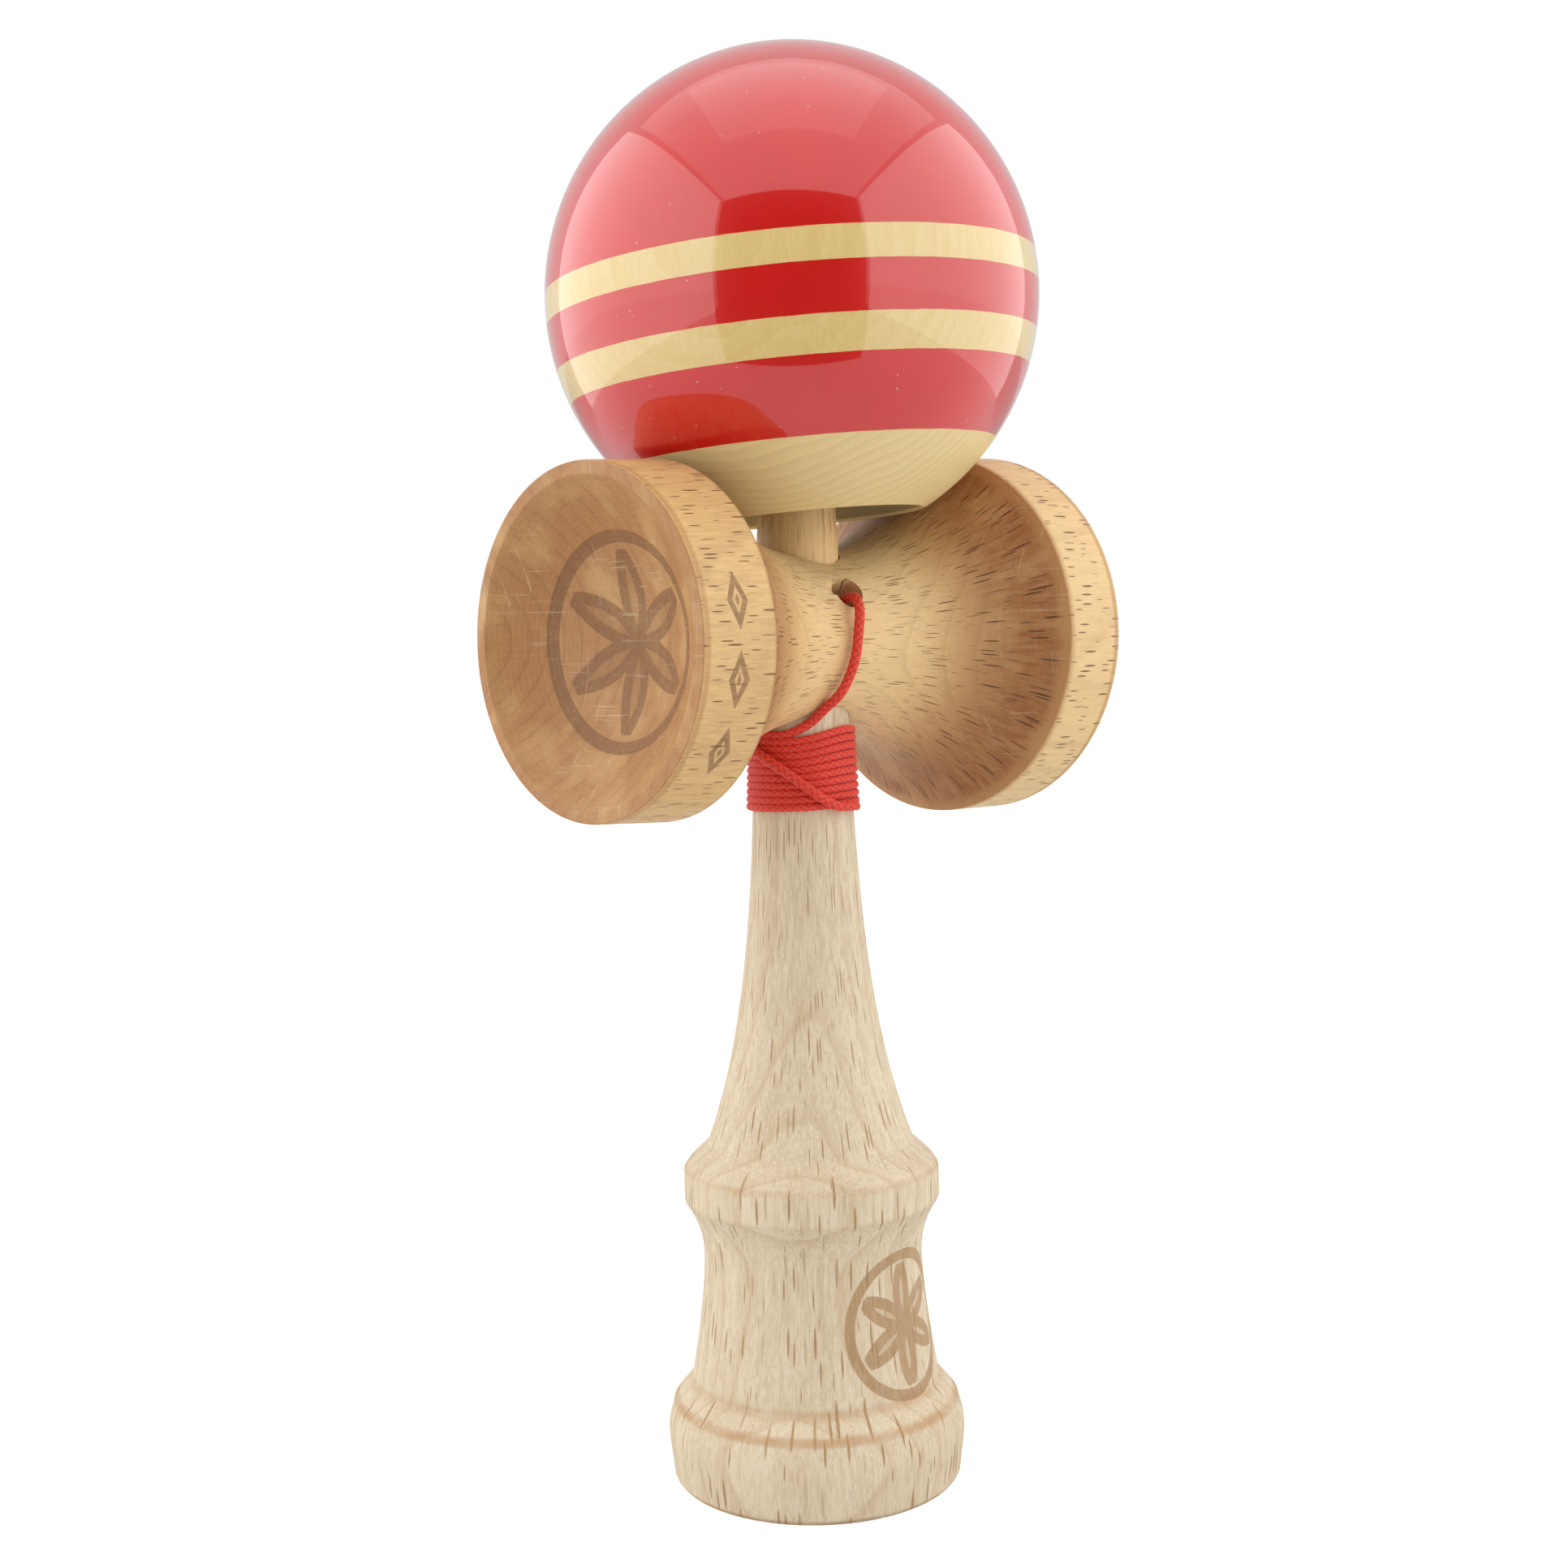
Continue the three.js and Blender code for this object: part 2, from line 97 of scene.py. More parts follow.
LEAD_ROUTE = [
    (0, 2.2, 103.67), (0, 0, 105.06), (0, -4.2, 107.7), (0, -7.3, 109.65),
    (-0.4, -9.9, 110.35), (-0.9, -11.3, 108.6), (-1.2, -11.4, 105.9), (-1.6, -11.2, 102.8),
    (-2.1, -10.4, 100.1), (-2.7, -9.3, 98.1), (-3.4, -8.1, 96.5), (-4.4, -6.9, 95.0),
    (-5.8, -5.6, 94.1), (-7.2, -3.6, 93.3), (-8.0, -1.5, 92.8),
]
RISER_ROUTE = [
    (1.7, -7.8, 84.5), (-1.5, -7.8, 84.7), (-3.5, -7.15, 85.7), (-4.85, -6.35, 86.8),
    (-6.1, -5.15, 88.0), (-7.15, -3.65, 89.2), (-7.75, -2.2, 90.1), (-8.1, -0.6, 90.9),
    (-8.3, 1.4, 91.6), (-7.7, 4.0, 92.5), (-6.3, 6.7, 94.0), (-4.5, 9.3, 96.6),
    (-2.9, 11.4, 100.3), (-1.7, 13.3, 105.6), (-0.9, 17.3, 113.2), (-0.3, 22.0, 121.8),
    (0, 26.85, 130.5), (0, 29.5, 136.5), (0, 31.0, 142.0), (0, 31.2, 146.0),
]
OVER_BALL_ROUTE = [
    (0, 31.2, 146.4), (-0.1, 30.7, 151.4), (-0.3, 28.2, 159.4), (-0.6, 23.8, 166.4),
    (-0.9, 17.6, 171.9), (-1.1, 10.8, 175.5), (-1.2, 6.2, 176.85), (-1.2, 3.6, 176.95),
    (-1.17, 2.1, 176.2), (-1.13, 1.65, 174.8), (-1.01, 1.42, 172.2), (-0.86, 1.2, 168.2),
    (-0.72, 1.01, 164.8), (-0.6, 0.85, 161.75),
]

HOLE_MOUTH = (0, -9.0, 110.2)


# ---- Settings ----

def length(name, description, default):
    """A size in millimetres that a user may change."""
    return FloatProperty(name=name, description=description, default=default,
                         min=0, unit="NONE", precision=3)


def colour(name, description, default):
    """A linear colour that a user may change."""
    return FloatVectorProperty(name=name, description=description, default=default,
                               subtype="COLOR", min=0, max=1)


def angle(name, description, degrees):
    """An angle that a user may change."""
    return FloatProperty(name=name, description=description, default=math.radians(degrees),
                         subtype="ANGLE", unit="ROTATION")


def level(name, default):
    """A height above the ball's centre in millimetres, negative below it."""
    return FloatProperty(name=name, description="Above the centre", default=default)


def metres(name, description, default):
    """A distance in metres that a user may change."""
    return FloatProperty(name=name, description=description, default=default, unit="LENGTH")


def amount(name, description, default):
    """A plain number that a user may change."""
    return FloatProperty(name=name, description=description, default=default)


class HandleSizes(PropertyGroup):
    """The turned handle's outline, in millimetres."""
    rim_inner: length("Rim inner radius", "Inside of the standing rim", 15.6)
    rim_outer: length("Rim outer radius", "Outside of the standing rim", 17.6)
    foot_radius: length("Foot radius", "Ring's radius just above the table", 18.1)
    belly_height: length("Belly height", "Where the base ring is widest", 6.3)
    ring_top_radius: length("Ring top radius", "Base ring's upper edge", 17.95)
    ring_height: length("Ring height", "Height of the base ring's upper edge", 9.7)
    dish_depth: length("Base dish depth", "Depth of the cup in the base", 7)
    bevel_height: length("Bevel height", "From the ring's edge up to the body", 2.8)
    body_foot: length("Body foot radius", "Body where it meets the bevel", 15.6)
    body_waist: length("Body waist radius", "Body at its narrowest", 13.7)
    body_waist_height: length("Body waist height", "Height of the narrowest place", 27.8)
    collar_radius: length("Collar radius", "The collar's band", 16)
    collar_bottom: length("Collar bottom", "Height of the band's lower edge", 35.3)
    collar_band: length("Collar band", "Width of the collar's band", 3.8)
    collar_bevel: length("Collar bevel", "From the band up to the grip", 3.3)
    grip_foot: length("Grip foot radius", "Grip where it leaves the collar", 12.9)
    grip_limit: length("Grip limit radius", "Radius that the grip's taper tends to", 5.35)
    grip_taper: length("Grip taper length", "How quickly the grip narrows", 19.8)
    shoulder_drop: length("Shoulder drop", "Shoulder below the cross-piece's axis", 6.6)
    tenon_radius: length("Tenon radius", "Handle inside the cross-piece", 5.25)
    spike_root: length("Spike root radius", "Spike just above the cross-piece", 5)
    spike_root_rise: length("Spike root rise", "Root above the cross-piece's axis", 12)
    spike_tip: length("Spike tip radius", "Spike below its rounded nose", 2.6)
    string_hole: length("String hole radius", "Slanted hole that meets the cross-piece's", 1.2)
    knot_pocket: length("Knot pocket radius", "Wider hole that holds the anchor knot", 1.95)
    pocket_floor: length("Pocket floor", "Pocket's end, behind the axis", 2.4)
    edge_round: length("Worn edge", "Rounding of the turned edges", 0.45)
    segments: IntProperty(name="Segments", description="Facets round the turned pieces", default=192, min=24)


class CrossSizes(PropertyGroup):
    """The cross-piece's outline, in millimetres."""
    waist: length("Waist radius", "Saddle at its narrowest", 10.3)
    big_edge: length("Big edge radius", "Back edge of the big cup's band", 23.17)
    big_edge_offset: length("Big edge offset", "Back edge from the handle's axis", 24.5)
    big_dish: length("Big cup depth", "Depth of the big cup", 9.5)
    small_cup: length("Small cup radius", "Rim of the small cup", 20.44)
    small_edge: length("Small edge radius", "Back edge of the small cup's band", 20.94)
    small_edge_offset: length("Small edge offset", "Back edge from the handle's axis", 23.76)
    small_dish: length("Small cup depth", "Depth of the small cup", 8)
    wall: length("Cup wall", "Width of a cup's lip", 1.6)
    lip_round: length("Lip rounding", "Rounding of the lip's outer edge", 0.55)
    bore_gap: length("Press fit gap", "Gap round the handle", 0.03)
    hole_radius: length("String hole radius", "Hole for the string", 1.9)
    hole_flare: length("String hole flare", "Scooped mouth of the string hole", 2.7)
    hole_rise: angle("String hole rise", "Hole's slope above level", 32.4)


class BallSizes(PropertyGroup):
    """The ball's holes and stripes, in millimetres along its own axis."""
    mouth: length("Mouth radius", "Outer edge of the big hole's bevel", 13.97)
    bevel: length("Bevel depth", "Height of the big hole's bevel", 2.7)
    bore_mouth: length("Bore mouth radius", "Big hole inside the bevel", 11.2)
    bore_end: length("Bore end radius", "Big hole at its deep end", 7.6)
    bore_cone: length("Bore cone", "Height of the drill's cone", 3.1)
    top_wall: length("Top wall", "Wood above the big hole", 7.4)
    string_hole: length("String hole radius", "Hole at the top", 1.5)
    string_flare: length("String hole flare", "Countersink at the top", 2.6)
    stripe_upper_top: level("Upper stripe top", 2.66)
    stripe_upper_bottom: level("Upper stripe bottom", -1.08)
    stripe_lower_top: level("Lower stripe top", -6.65)
    stripe_lower_bottom: level("Lower stripe bottom", -10.74)
    paint_bottom: FloatProperty(name="Paint bottom", description="Bare wood below this", default=-18.96)


class StringSizes(PropertyGroup):
    """The braided string, in millimetres."""
    diameter: length("Diameter", "Free string across", 1.2)
    pressed_width: length("Pressed width", "A wound turn along the handle", 0.94)
    pressed_depth: length("Pressed depth", "A wound turn's thickness", 0.8)
    pitch: length("Pitch", "From one turn to the next", 0.888)
    top_height: length("Top height", "Centre line where the winding starts", 93.45)
    turns: amount("Turns", "Whole turns below the first front pass", 10)
    fan: length("Fan", "How far the upper turns rise in front, between the cups", 1.2)
    mouth_sag: length("Mouth sag", "How far the string settles onto its hole's lip", 0.65)
    step: length("Step", "Spacing of the mesh rings along the string", 0.11)
    sides: IntProperty(name="Sides", description="Mesh sides of the string", default=16, min=6)
    relief: length("Relief", "Height of the braid's bumps", 0.065)


class Marks(PropertyGroup):
    """The burnt marks, in millimetres."""
    handle_height: length("Handle mark height", "Middle of the handle's rosette", 21.5)
    handle_turn: angle("Handle mark turn", "Its place round the handle, 0 is +X", -84)
    handle_reach: length("Handle mark reach", "Length of the handle's petals", 7.4)
    handle_stroke: length("Handle mark stroke", "Width of its burnt lines", 1.25)
    cup_reach: length("Cup mark reach", "Length of the petals in the small cup", 10.6)
    cup_stroke: length("Cup mark stroke", "Width of its burnt lines", 1.35)
    lozenge_width: length("Lozenge half width", "Along the cross-piece", 1.5)
    lozenge_length: length("Lozenge half length", "Round the band", 3.4)
    first_lozenge: angle("First lozenge", "Above the band's front", 12)
    lozenge_step: angle("Lozenge step", "Down from one lozenge to the next", 24)


class Finishes(PropertyGroup):
    """Colours of the wood, lacquer and string, linear."""
    pale_beech: colour("Pale beech", "Handle", (0.765, 0.65, 0.475))
    pale_shade: colour("Pale beech shade", "Handle's darker growth", (0.545, 0.41, 0.25))
    warm_beech: colour("Warm beech", "Cross-piece", (0.75, 0.49, 0.205))
    warm_shade: colour("Warm beech shade", "Cross-piece's darker growth", (0.56, 0.335, 0.15))
    end_grain: colour("End grain", "Inside of the cups", (0.37, 0.145, 0.04))
    # Flare: the cups' own darker end grain, deepened with painted shade.
    flare: colour("Flare", "Dark backs of the cups", (0.27, 0.078, 0.012))
    # Saddle also serves as painted light on the big cup's end.
    saddle: colour("Saddle", "Light middle of the cross-piece", (0.90, 0.68, 0.35))
    fleck: colour("Fleck", "Cross-piece's short dark flecks", (0.17, 0.06, 0.014))
    pale_fleck: colour("Pale fleck", "Handle's short flecks", (0.36, 0.195, 0.07))
    burnish: colour("Burnish", "Rubbed turned edges", (0.46, 0.235, 0.085))
    engraving: colour("Engraving", "Burnt marks on the cross-piece", (0.20, 0.085, 0.028))
    pale_engraving: colour("Pale engraving", "Burnt mark on the handle", (0.37, 0.20, 0.075))
    lacquer: colour("Lacquer", "Ball's red", (0.60, 0.007, 0.004))
    stripe_wood: colour("Stripe wood", "Ball's bare stripes", (0.71, 0.515, 0.19))
    ball_wood: colour("Ball wood", "Ball's bare underside", (0.84, 0.65, 0.31))
    braid: colour("Braid", "String", (0.76, 0.032, 0.009))


class Studio(PropertyGroup):
    """Camera and lights, in metres and degrees, round the handle's axis."""
    azimuth: angle("Camera azimuth", "Round the handle, 0 looks along +Y", -44.217)
    distance: metres("Camera distance", "From the axis", 0.25698)
    height: metres("Camera height", "Above the table", 0.10547)
    pan: angle("Camera pan", "Turn away from the axis, to the right", -0.516)
    tilt: angle("Camera tilt", "Above level", -4.1)
    roll: angle("Camera roll", "About the line of sight", -1.318)
    lens: amount("Lens", "Focal length in millimetres", 47.66)
    left_box: amount("Left panel", "Radiance of the left panel", 1.16)
    right_box: amount("Right panel", "Radiance of the right panel", 1.08)
    top_box: amount("Top panel", "Radiance of the top panel", 0.5)
    lamp: amount("Overhead lamp", "Radiance added by the lamp", 0.32)
    backdrop: amount("Backdrop", "Brightness behind the object", 1.0)
    fill: amount("Fill", "Light that the surroundings give", 0.58)
    sheen_fill: amount("Sheen fill", "Surroundings as gloss reflects them", 0.7)
    floor_lift: amount("Floor lift", "Evens the floor out to the backdrop", 0.7)


class KendamaSettings(PropertyGroup):
    """All settings of the kendama."""
    handle: PointerProperty(type=HandleSizes)
    cross: PointerProperty(type=CrossSizes)
    ball: PointerProperty(type=BallSizes)
    string: PointerProperty(type=StringSizes)
    marks: PointerProperty(type=Marks)
    finish: PointerProperty(type=Finishes)
    studio: PointerProperty(type=Studio)


# ---- Outlines, as (radius, height) in millimetres ----

def line(start, end, spacing=0.5):
    """Points from start to end, end left out."""
    steps = max(1, math.ceil(math.dist(start, end) / spacing))
    return [tuple(np.add(np.multiply(start, 1 - i / steps), np.multiply(end, i / steps)))
            for i in range(steps)]


def through(points, steps):
    """A smooth curve through points."""
    return [tuple(p[:2]) for p in curve_through([(*p, 0) for p in points], steps)]


def curve_through(points, steps_each):
    """Catmull-Rom points through a route, steps_each between neighbours."""
    p = np.array([points[0], *points, points[-1]], float)
    p[0] = 2 * p[1] - p[2]
    p[-1] = 2 * p[-2] - p[-3]
    made = []
    for i in range(1, len(p) - 2):
        for t in np.arange(steps_each) / steps_each:
            a = 2 * p[i]
            b = p[i + 1] - p[i - 1]
            c = 2 * p[i - 1] - 5 * p[i] + 4 * p[i + 1] - p[i + 2]
            d = 3 * p[i] - p[i - 1] - 3 * p[i + 1] + p[i + 2]
            made.append((a + b * t + c * t * t + d * t ** 3) / 2)
    return np.array([*made, p[-2]])


def dish(lip_radius, depth, steps=40):
    """A spherical hollow from its centre to its lip, as (radius, height above the lip)."""
    sphere = (lip_radius ** 2 + depth ** 2) / (2 * depth)
    radii = np.linspace(0, lip_radius, steps)
    return [(r, math.sqrt(sphere ** 2 - r ** 2) - sphere + depth) for r in radii]


def rounded(points, radius, corner_degrees=18):
    """Corners sharper than corner_degrees become small curves, as sanding leaves them."""
    made = [points[0]]
    for before, here, after in zip(points, points[1:], points[2:]):
        a, b, c = (np.array(p, float) for p in (before, here, after))
        to_a, to_c = a - b, c - b
        reach = min(radius, np.linalg.norm(to_a) / 2, np.linalg.norm(to_c) / 2)
        if reach < 1e-4:
            continue
        to_a /= np.linalg.norm(to_a)
        to_c /= np.linalg.norm(to_c)
        turn = math.degrees(math.acos(np.clip(-to_a @ to_c, -1, 1)))
        if turn < corner_degrees:
            made.append(tuple(b))
            continue
        start, end = b + to_a * reach, b + to_c * reach
        for t in np.linspace(0, 1, 7):
            made.append(tuple((1 - t) ** 2 * start + 2 * t * (1 - t) * b + t * t * end))
    made.append(points[-1])
    return made


def grip_radius(height, sizes):
    """The grip narrows smoothly from the collar to the neck."""
    foot = sizes.collar_bottom + sizes.collar_band + sizes.collar_bevel
    share = math.exp((foot - height) / sizes.grip_taper)
    return sizes.grip_limit + (sizes.grip_foot - sizes.grip_limit) * share


def saddle_radius(offset, sizes):
    """The saddle's arc, level at the waist, out to either cup's back edge."""
    if offset < 0:
        edge_offset, edge_radius = sizes.small_edge_offset, sizes.small_edge
    else:
        edge_offset, edge_radius = sizes.big_edge_offset, sizes.big_edge
    rise = edge_radius - sizes.waist
    arc = (edge_offset ** 2 + rise ** 2) / (2 * rise)
    return sizes.waist + arc - math.sqrt(arc ** 2 - min(abs(offset), edge_offset) ** 2)


def handle_outline(sizes):
    """Base cup, ring, body, collar and grip, then the tenon and the spike."""
    body_start = sizes.ring_height + sizes.bevel_height
    collar_top = sizes.collar_bottom + sizes.collar_band
    grip_start = collar_top + sizes.collar_bevel
    shoulder = CROSS_HEIGHT - sizes.shoulder_drop
    ring = [(sizes.foot_radius, 0.6), (BASE_RING_RADIUS, sizes.belly_height),
            (sizes.ring_top_radius, sizes.ring_height)]
    base = [*dish(sizes.rim_inner, sizes.dish_depth), *line((sizes.rim_inner, 0), (sizes.rim_outer, 0))[1:],
            (sizes.rim_outer, 0), *through(ring, 16)]
    body = [*line((sizes.ring_top_radius, sizes.ring_height), (sizes.body_foot, body_start))[1:]]
    for t in np.linspace(0, 1, 24)[:-1]:
        body.append((sizes.body_waist + (sizes.body_foot - sizes.body_waist) * (1 - t) ** 1.5,
                     body_start + (sizes.body_waist_height - body_start) * t))
    for t in np.linspace(0, 1, 18):
        body.append((sizes.body_waist + (sizes.collar_radius - sizes.body_waist) * t ** 2.3,
                     sizes.body_waist_height + (sizes.collar_bottom - sizes.body_waist_height) * t))
    shelf = [(sizes.collar_radius - 0.7, collar_top + 1.05), (sizes.grip_foot, grip_start)]
    collar = [*line((sizes.collar_radius, sizes.collar_bottom), (sizes.collar_radius, collar_top))[1:],
              *line((sizes.collar_radius, collar_top), shelf[0]), *line(*shelf)]
    grip = [(grip_radius(z, sizes), z) for z in np.arange(grip_start, shoulder, 0.8)]
    spike_root = CROSS_HEIGHT + sizes.spike_root_rise
    nose_start = SPIKE_TIP_HEIGHT - sizes.spike_tip
    spike = [*line((sizes.tenon_radius, shoulder), (sizes.spike_root, spike_root)),
             *line((sizes.spike_root, spike_root), (sizes.spike_tip, nose_start))]
    nose = [(sizes.spike_tip * math.cos(a), nose_start + sizes.spike_tip * math.sin(a))
            for a in np.linspace(0, math.pi / 2, 14)]
    return rounded([*base, *body, *collar, *grip, (sizes.tenon_radius, shoulder), *spike[1:], *nose],
                   sizes.edge_round)


def cross_outline(sizes):
    """Small cup, band, saddle, band and big cup, with the axis as the height."""
    end = CROSS_HALF_LENGTH
    small_lip, big_lip = sizes.small_cup - sizes.wall, BIG_CUP_RADIUS - sizes.wall
    small = [(r, h - end) for r, h in dish(small_lip, sizes.small_dish)]
    big = [(r, end - h) for r, h in dish(big_lip, sizes.big_dish)]
    saddle = [(saddle_radius(x, sizes), x)
              for x in np.linspace(-sizes.small_edge_offset, sizes.big_edge_offset, 110)]
    outline = [*small, *line(small[-1], (sizes.small_cup, -end))[1:],
               *line((sizes.small_cup, -end), saddle[0]), *saddle,
               *line(saddle[-1], (BIG_CUP_RADIUS, end))[1:], *line((BIG_CUP_RADIUS, end), big[-1]),
               *big[::-1]]
    return rounded(outline, sizes.lip_round)


def ball_outline(sizes):
    """Skin from the big hole's bevel to the string hole, then down both holes to where it starts."""
    low = -math.acos(sizes.mouth / BALL_RADIUS)
    high = math.acos(sizes.string_flare / BALL_RADIUS)
    skin = [(BALL_RADIUS * math.cos(a), BALL_RADIUS * math.sin(a)) for a in np.linspace(low, high, 170)]
    bore_top = BALL_RADIUS - sizes.top_wall
    inside = [(sizes.string_hole, BALL_RADIUS - 1.4), (sizes.string_hole, bore_top),
              (sizes.bore_end, bore_top - sizes.bore_cone), (sizes.bore_mouth, skin[0][1] + sizes.bevel)]
    corners = [skin[-1], *inside, skin[0]]
    holes = [p for a, b in zip(corners, corners[1:]) for p in line(a, b, 0.8)]
    return rounded([*skin[:-1], *holes, skin[0]], 0.3)


# ---- Mesh making ----

def lathe(name, outline, segments, closed=False):
    """A turned mesh about Z, in metres, from an outline in millimetres."""
    points = np.array(outline[:-1] if closed else outline, float) * MM
    turn = np.arange(segments) * 2 * math.pi / segments
    verts, rings = [], []
    for radius, height in points:
        if radius < 1e-7:
            rings.append([len(verts)] * segments)
            verts.append((0, 0, height))
            continue
        rings.append(list(range(len(verts), len(verts) + segments)))
        verts.extend((radius * math.cos(a), radius * math.sin(a), height) for a in turn)
    if closed:
        rings.append(rings[0])
    faces = []
    for below, above in zip(rings, rings[1:]):
        for i in range(segments):
            j = (i + 1) % segments
            corners = dict.fromkeys((below[i], below[j], above[j], above[i]))
            if len(corners) > 2:
                faces.append(tuple(corners))
    mesh = bpy.data.meshes.new(name)
    mesh.from_pydata(verts, [], faces)
    mesh.validate()
    return mesh


def smooth_with_edges(mesh, degrees=32):
    """Smooth shading that keeps edges sharper than this."""
    shaped = bmesh.new()
    shaped.from_mesh(mesh)
    bmesh.ops.recalc_face_normals(shaped, faces=shaped.faces)
    for face in shaped.faces:
        face.smooth = True
    for edge in shaped.edges:
        edge.smooth = edge.calc_face_angle(0) < math.radians(degrees)
    shaped.to_mesh(mesh)
    shaped.free()


def piece(name, mesh, material, body, node=None):
    """Places a finished mesh on its body, in place of the CAD node it stands for."""
    thing = bpy.data.objects.new(name, mesh)
    bpy.context.scene.collection.objects.link(thing)
    mesh.materials.clear()
    mesh.materials.append(material)
    if node:
        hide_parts(*([node] if isinstance(node, str) else node))
    if body:
        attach(thing, body)
    return thing


def cut(mesh, cutters):
    """The mesh with each cutter's mesh taken out of it."""
    scene = bpy.context.scene
    blank = bpy.data.objects.new("blank", mesh)
    scene.collection.objects.link(blank)
    tools = []
    for i, cutter in enumerate(cutters):
        tool = bpy.data.objects.new(f"tool_{i}", cutter)
        scene.collection.objects.link(tool)
        take = blank.modifiers.new(f"take_{i}", "BOOLEAN")
        take.operation, take.solver, take.object = "DIFFERENCE", "EXACT", tool
        tools.append(tool)
    shaped = bpy.data.meshes.new_from_object(blank.evaluated_get(bpy.context.evaluated_depsgraph_get()))
    for thing in (blank, *tools):
        bpy.data.objects.remove(thing)
    return shaped


def turn_to(axis):
    """The turn that takes +Z to an axis."""
    return UP.rotation_difference(axis).to_matrix().to_4x4()


def drill(radius_from, radius_to, distance_from, distance_to, origin, axis, segments=64):
    """A round cutter along an axis, in millimetres."""
    outline = [(0, distance_from), (radius_from, distance_from), (radius_to, distance_to), (0, distance_to)]
    mesh = lathe("drill", outline, segments)
    mesh.transform(Matrix.Translation(Vector(origin) * MM) @ turn_to(axis))
    return mesh


# ---- Shader node helpers ----

class Nodes:
    """Adds nodes to a tree. A setting that is a socket is linked, and anything else is a value."""

    def __init__(self, tree):
        self.tree = tree

    def add(self, kind, *values, **settings):
        node = self.tree.nodes.new(f"ShaderNode{kind}")
        for key, value in settings.items():
            if hasattr(node, key) and key not in node.inputs:
                setattr(node, key, value)
            else:
                self.give(node.inputs[key], value)
        for socket, value in zip(node.inputs, values):
            if value is not None:
                self.give(socket, value)
        return node

    def give(self, socket, value):
        if isinstance(value, bpy.types.NodeSocket):
            self.tree.links.new(value, socket)
        elif isinstance(value, bpy.types.Node):
            self.tree.links.new(value.outputs[0], socket)
        else:
            socket.default_value = value

    def math(self, operation, *values):
        return self.add("Math", *values, operation=operation).outputs[0]

    def plus(self, first, second):
        return self.math("ADD", first, second)

    def minus(self, first, second):
        return self.math("SUBTRACT", first, second)

    def times(self, first, second):
        return self.math("MULTIPLY", first, second)

    def most(self, first, second):
        return self.math("MAXIMUM", first, second)

    def scaled(self, value, gain, offset):
        return self.math("MULTIPLY_ADD", value, gain, offset)

    def hypotenuse(self, first, second):
        return self.math("SQRT", self.plus(self.times(first, first), self.times(second, second)))

    def between(self, factor, first, second):
        """A number that goes from first to second."""
        return self.scaled(factor, second - first, first)

    def vector(self, operation, *values):
        node = self.add("VectorMath", *values, operation=operation)
        return node.outputs["Value" if operation in ("LENGTH", "DISTANCE", "DOT_PRODUCT") else "Vector"]

    def ramp(self, value, low, high, to_low=0.0, to_high=1.0):
        node = self.add("MapRange", value, low, high, to_low, to_high, interpolation_type="SMOOTHSTEP")
        return node.outputs[0]

    def mix(self, factor, first, second, blend="MIX"):
        """A colour that goes from first to second, each one a socket or three numbers."""
        node = self.tree.nodes.new("ShaderNodeMix")
        node.data_type, node.blend_type = "RGBA", blend
        self.give(node.inputs[0], factor)
        for socket, value in ((node.inputs[6], first), (node.inputs[7], second)):
            self.give(socket, value if isinstance(value, bpy.types.NodeSocket) else (*value, 1))
        return node.outputs[2]

    def noise(self, vector, scale, detail=2.0, roughness=0.5):
        node = self.add("TexNoise", Vector=vector, Scale=scale, Detail=detail, Roughness=roughness)
        return node.outputs[0]

    def stretched_noise(self, point, per_mm, detail, roughness=0.5):
        """Noise with its own density along each axis."""
        return self.noise(self.vector("MULTIPLY", point, per_mm), 1.0, detail, roughness)

    def band(self, value, centre, half_width, soft):
        """1 within half_width of centre, falling off over soft."""
        away = self.math("ABSOLUTE", self.minus(value, centre))
        return self.ramp(away, half_width + soft, half_width)


def group(name, inputs, outputs, build):
    """A shader node group with named sockets, built once."""
    if name in bpy.data.node_groups:
        return bpy.data.node_groups[name]
    tree = bpy.data.node_groups.new(name, "ShaderNodeTree")
    for label, kind, default in inputs:
        socket = tree.interface.new_socket(name=label, in_out="INPUT", socket_type=kind)
        if default is not None:
            socket.default_value = default
    for label, kind in outputs:
        tree.interface.new_socket(name=label, in_out="OUTPUT", socket_type=kind)
    entry, leave = tree.nodes.new("NodeGroupInput"), tree.nodes.new("NodeGroupOutput")
    made = build(Nodes(tree), {socket.name: socket for socket in entry.outputs if socket.name})
    for label, socket in made.items():
        tree.links.new(socket, leave.inputs[label])
    return tree


def use(nodes, tree, **inputs):
    """Places a group in a material and gives its inputs, with _ for a space in their names."""
    node = nodes.tree.nodes.new("ShaderNodeGroup")
    node.node_tree = tree
    for label, value in inputs.items():
        nodes.give(node.inputs[label.replace("_", " ")], value)
    return node.outputs


FLOAT, VECTOR = "NodeSocketFloat", "NodeSocketVector"


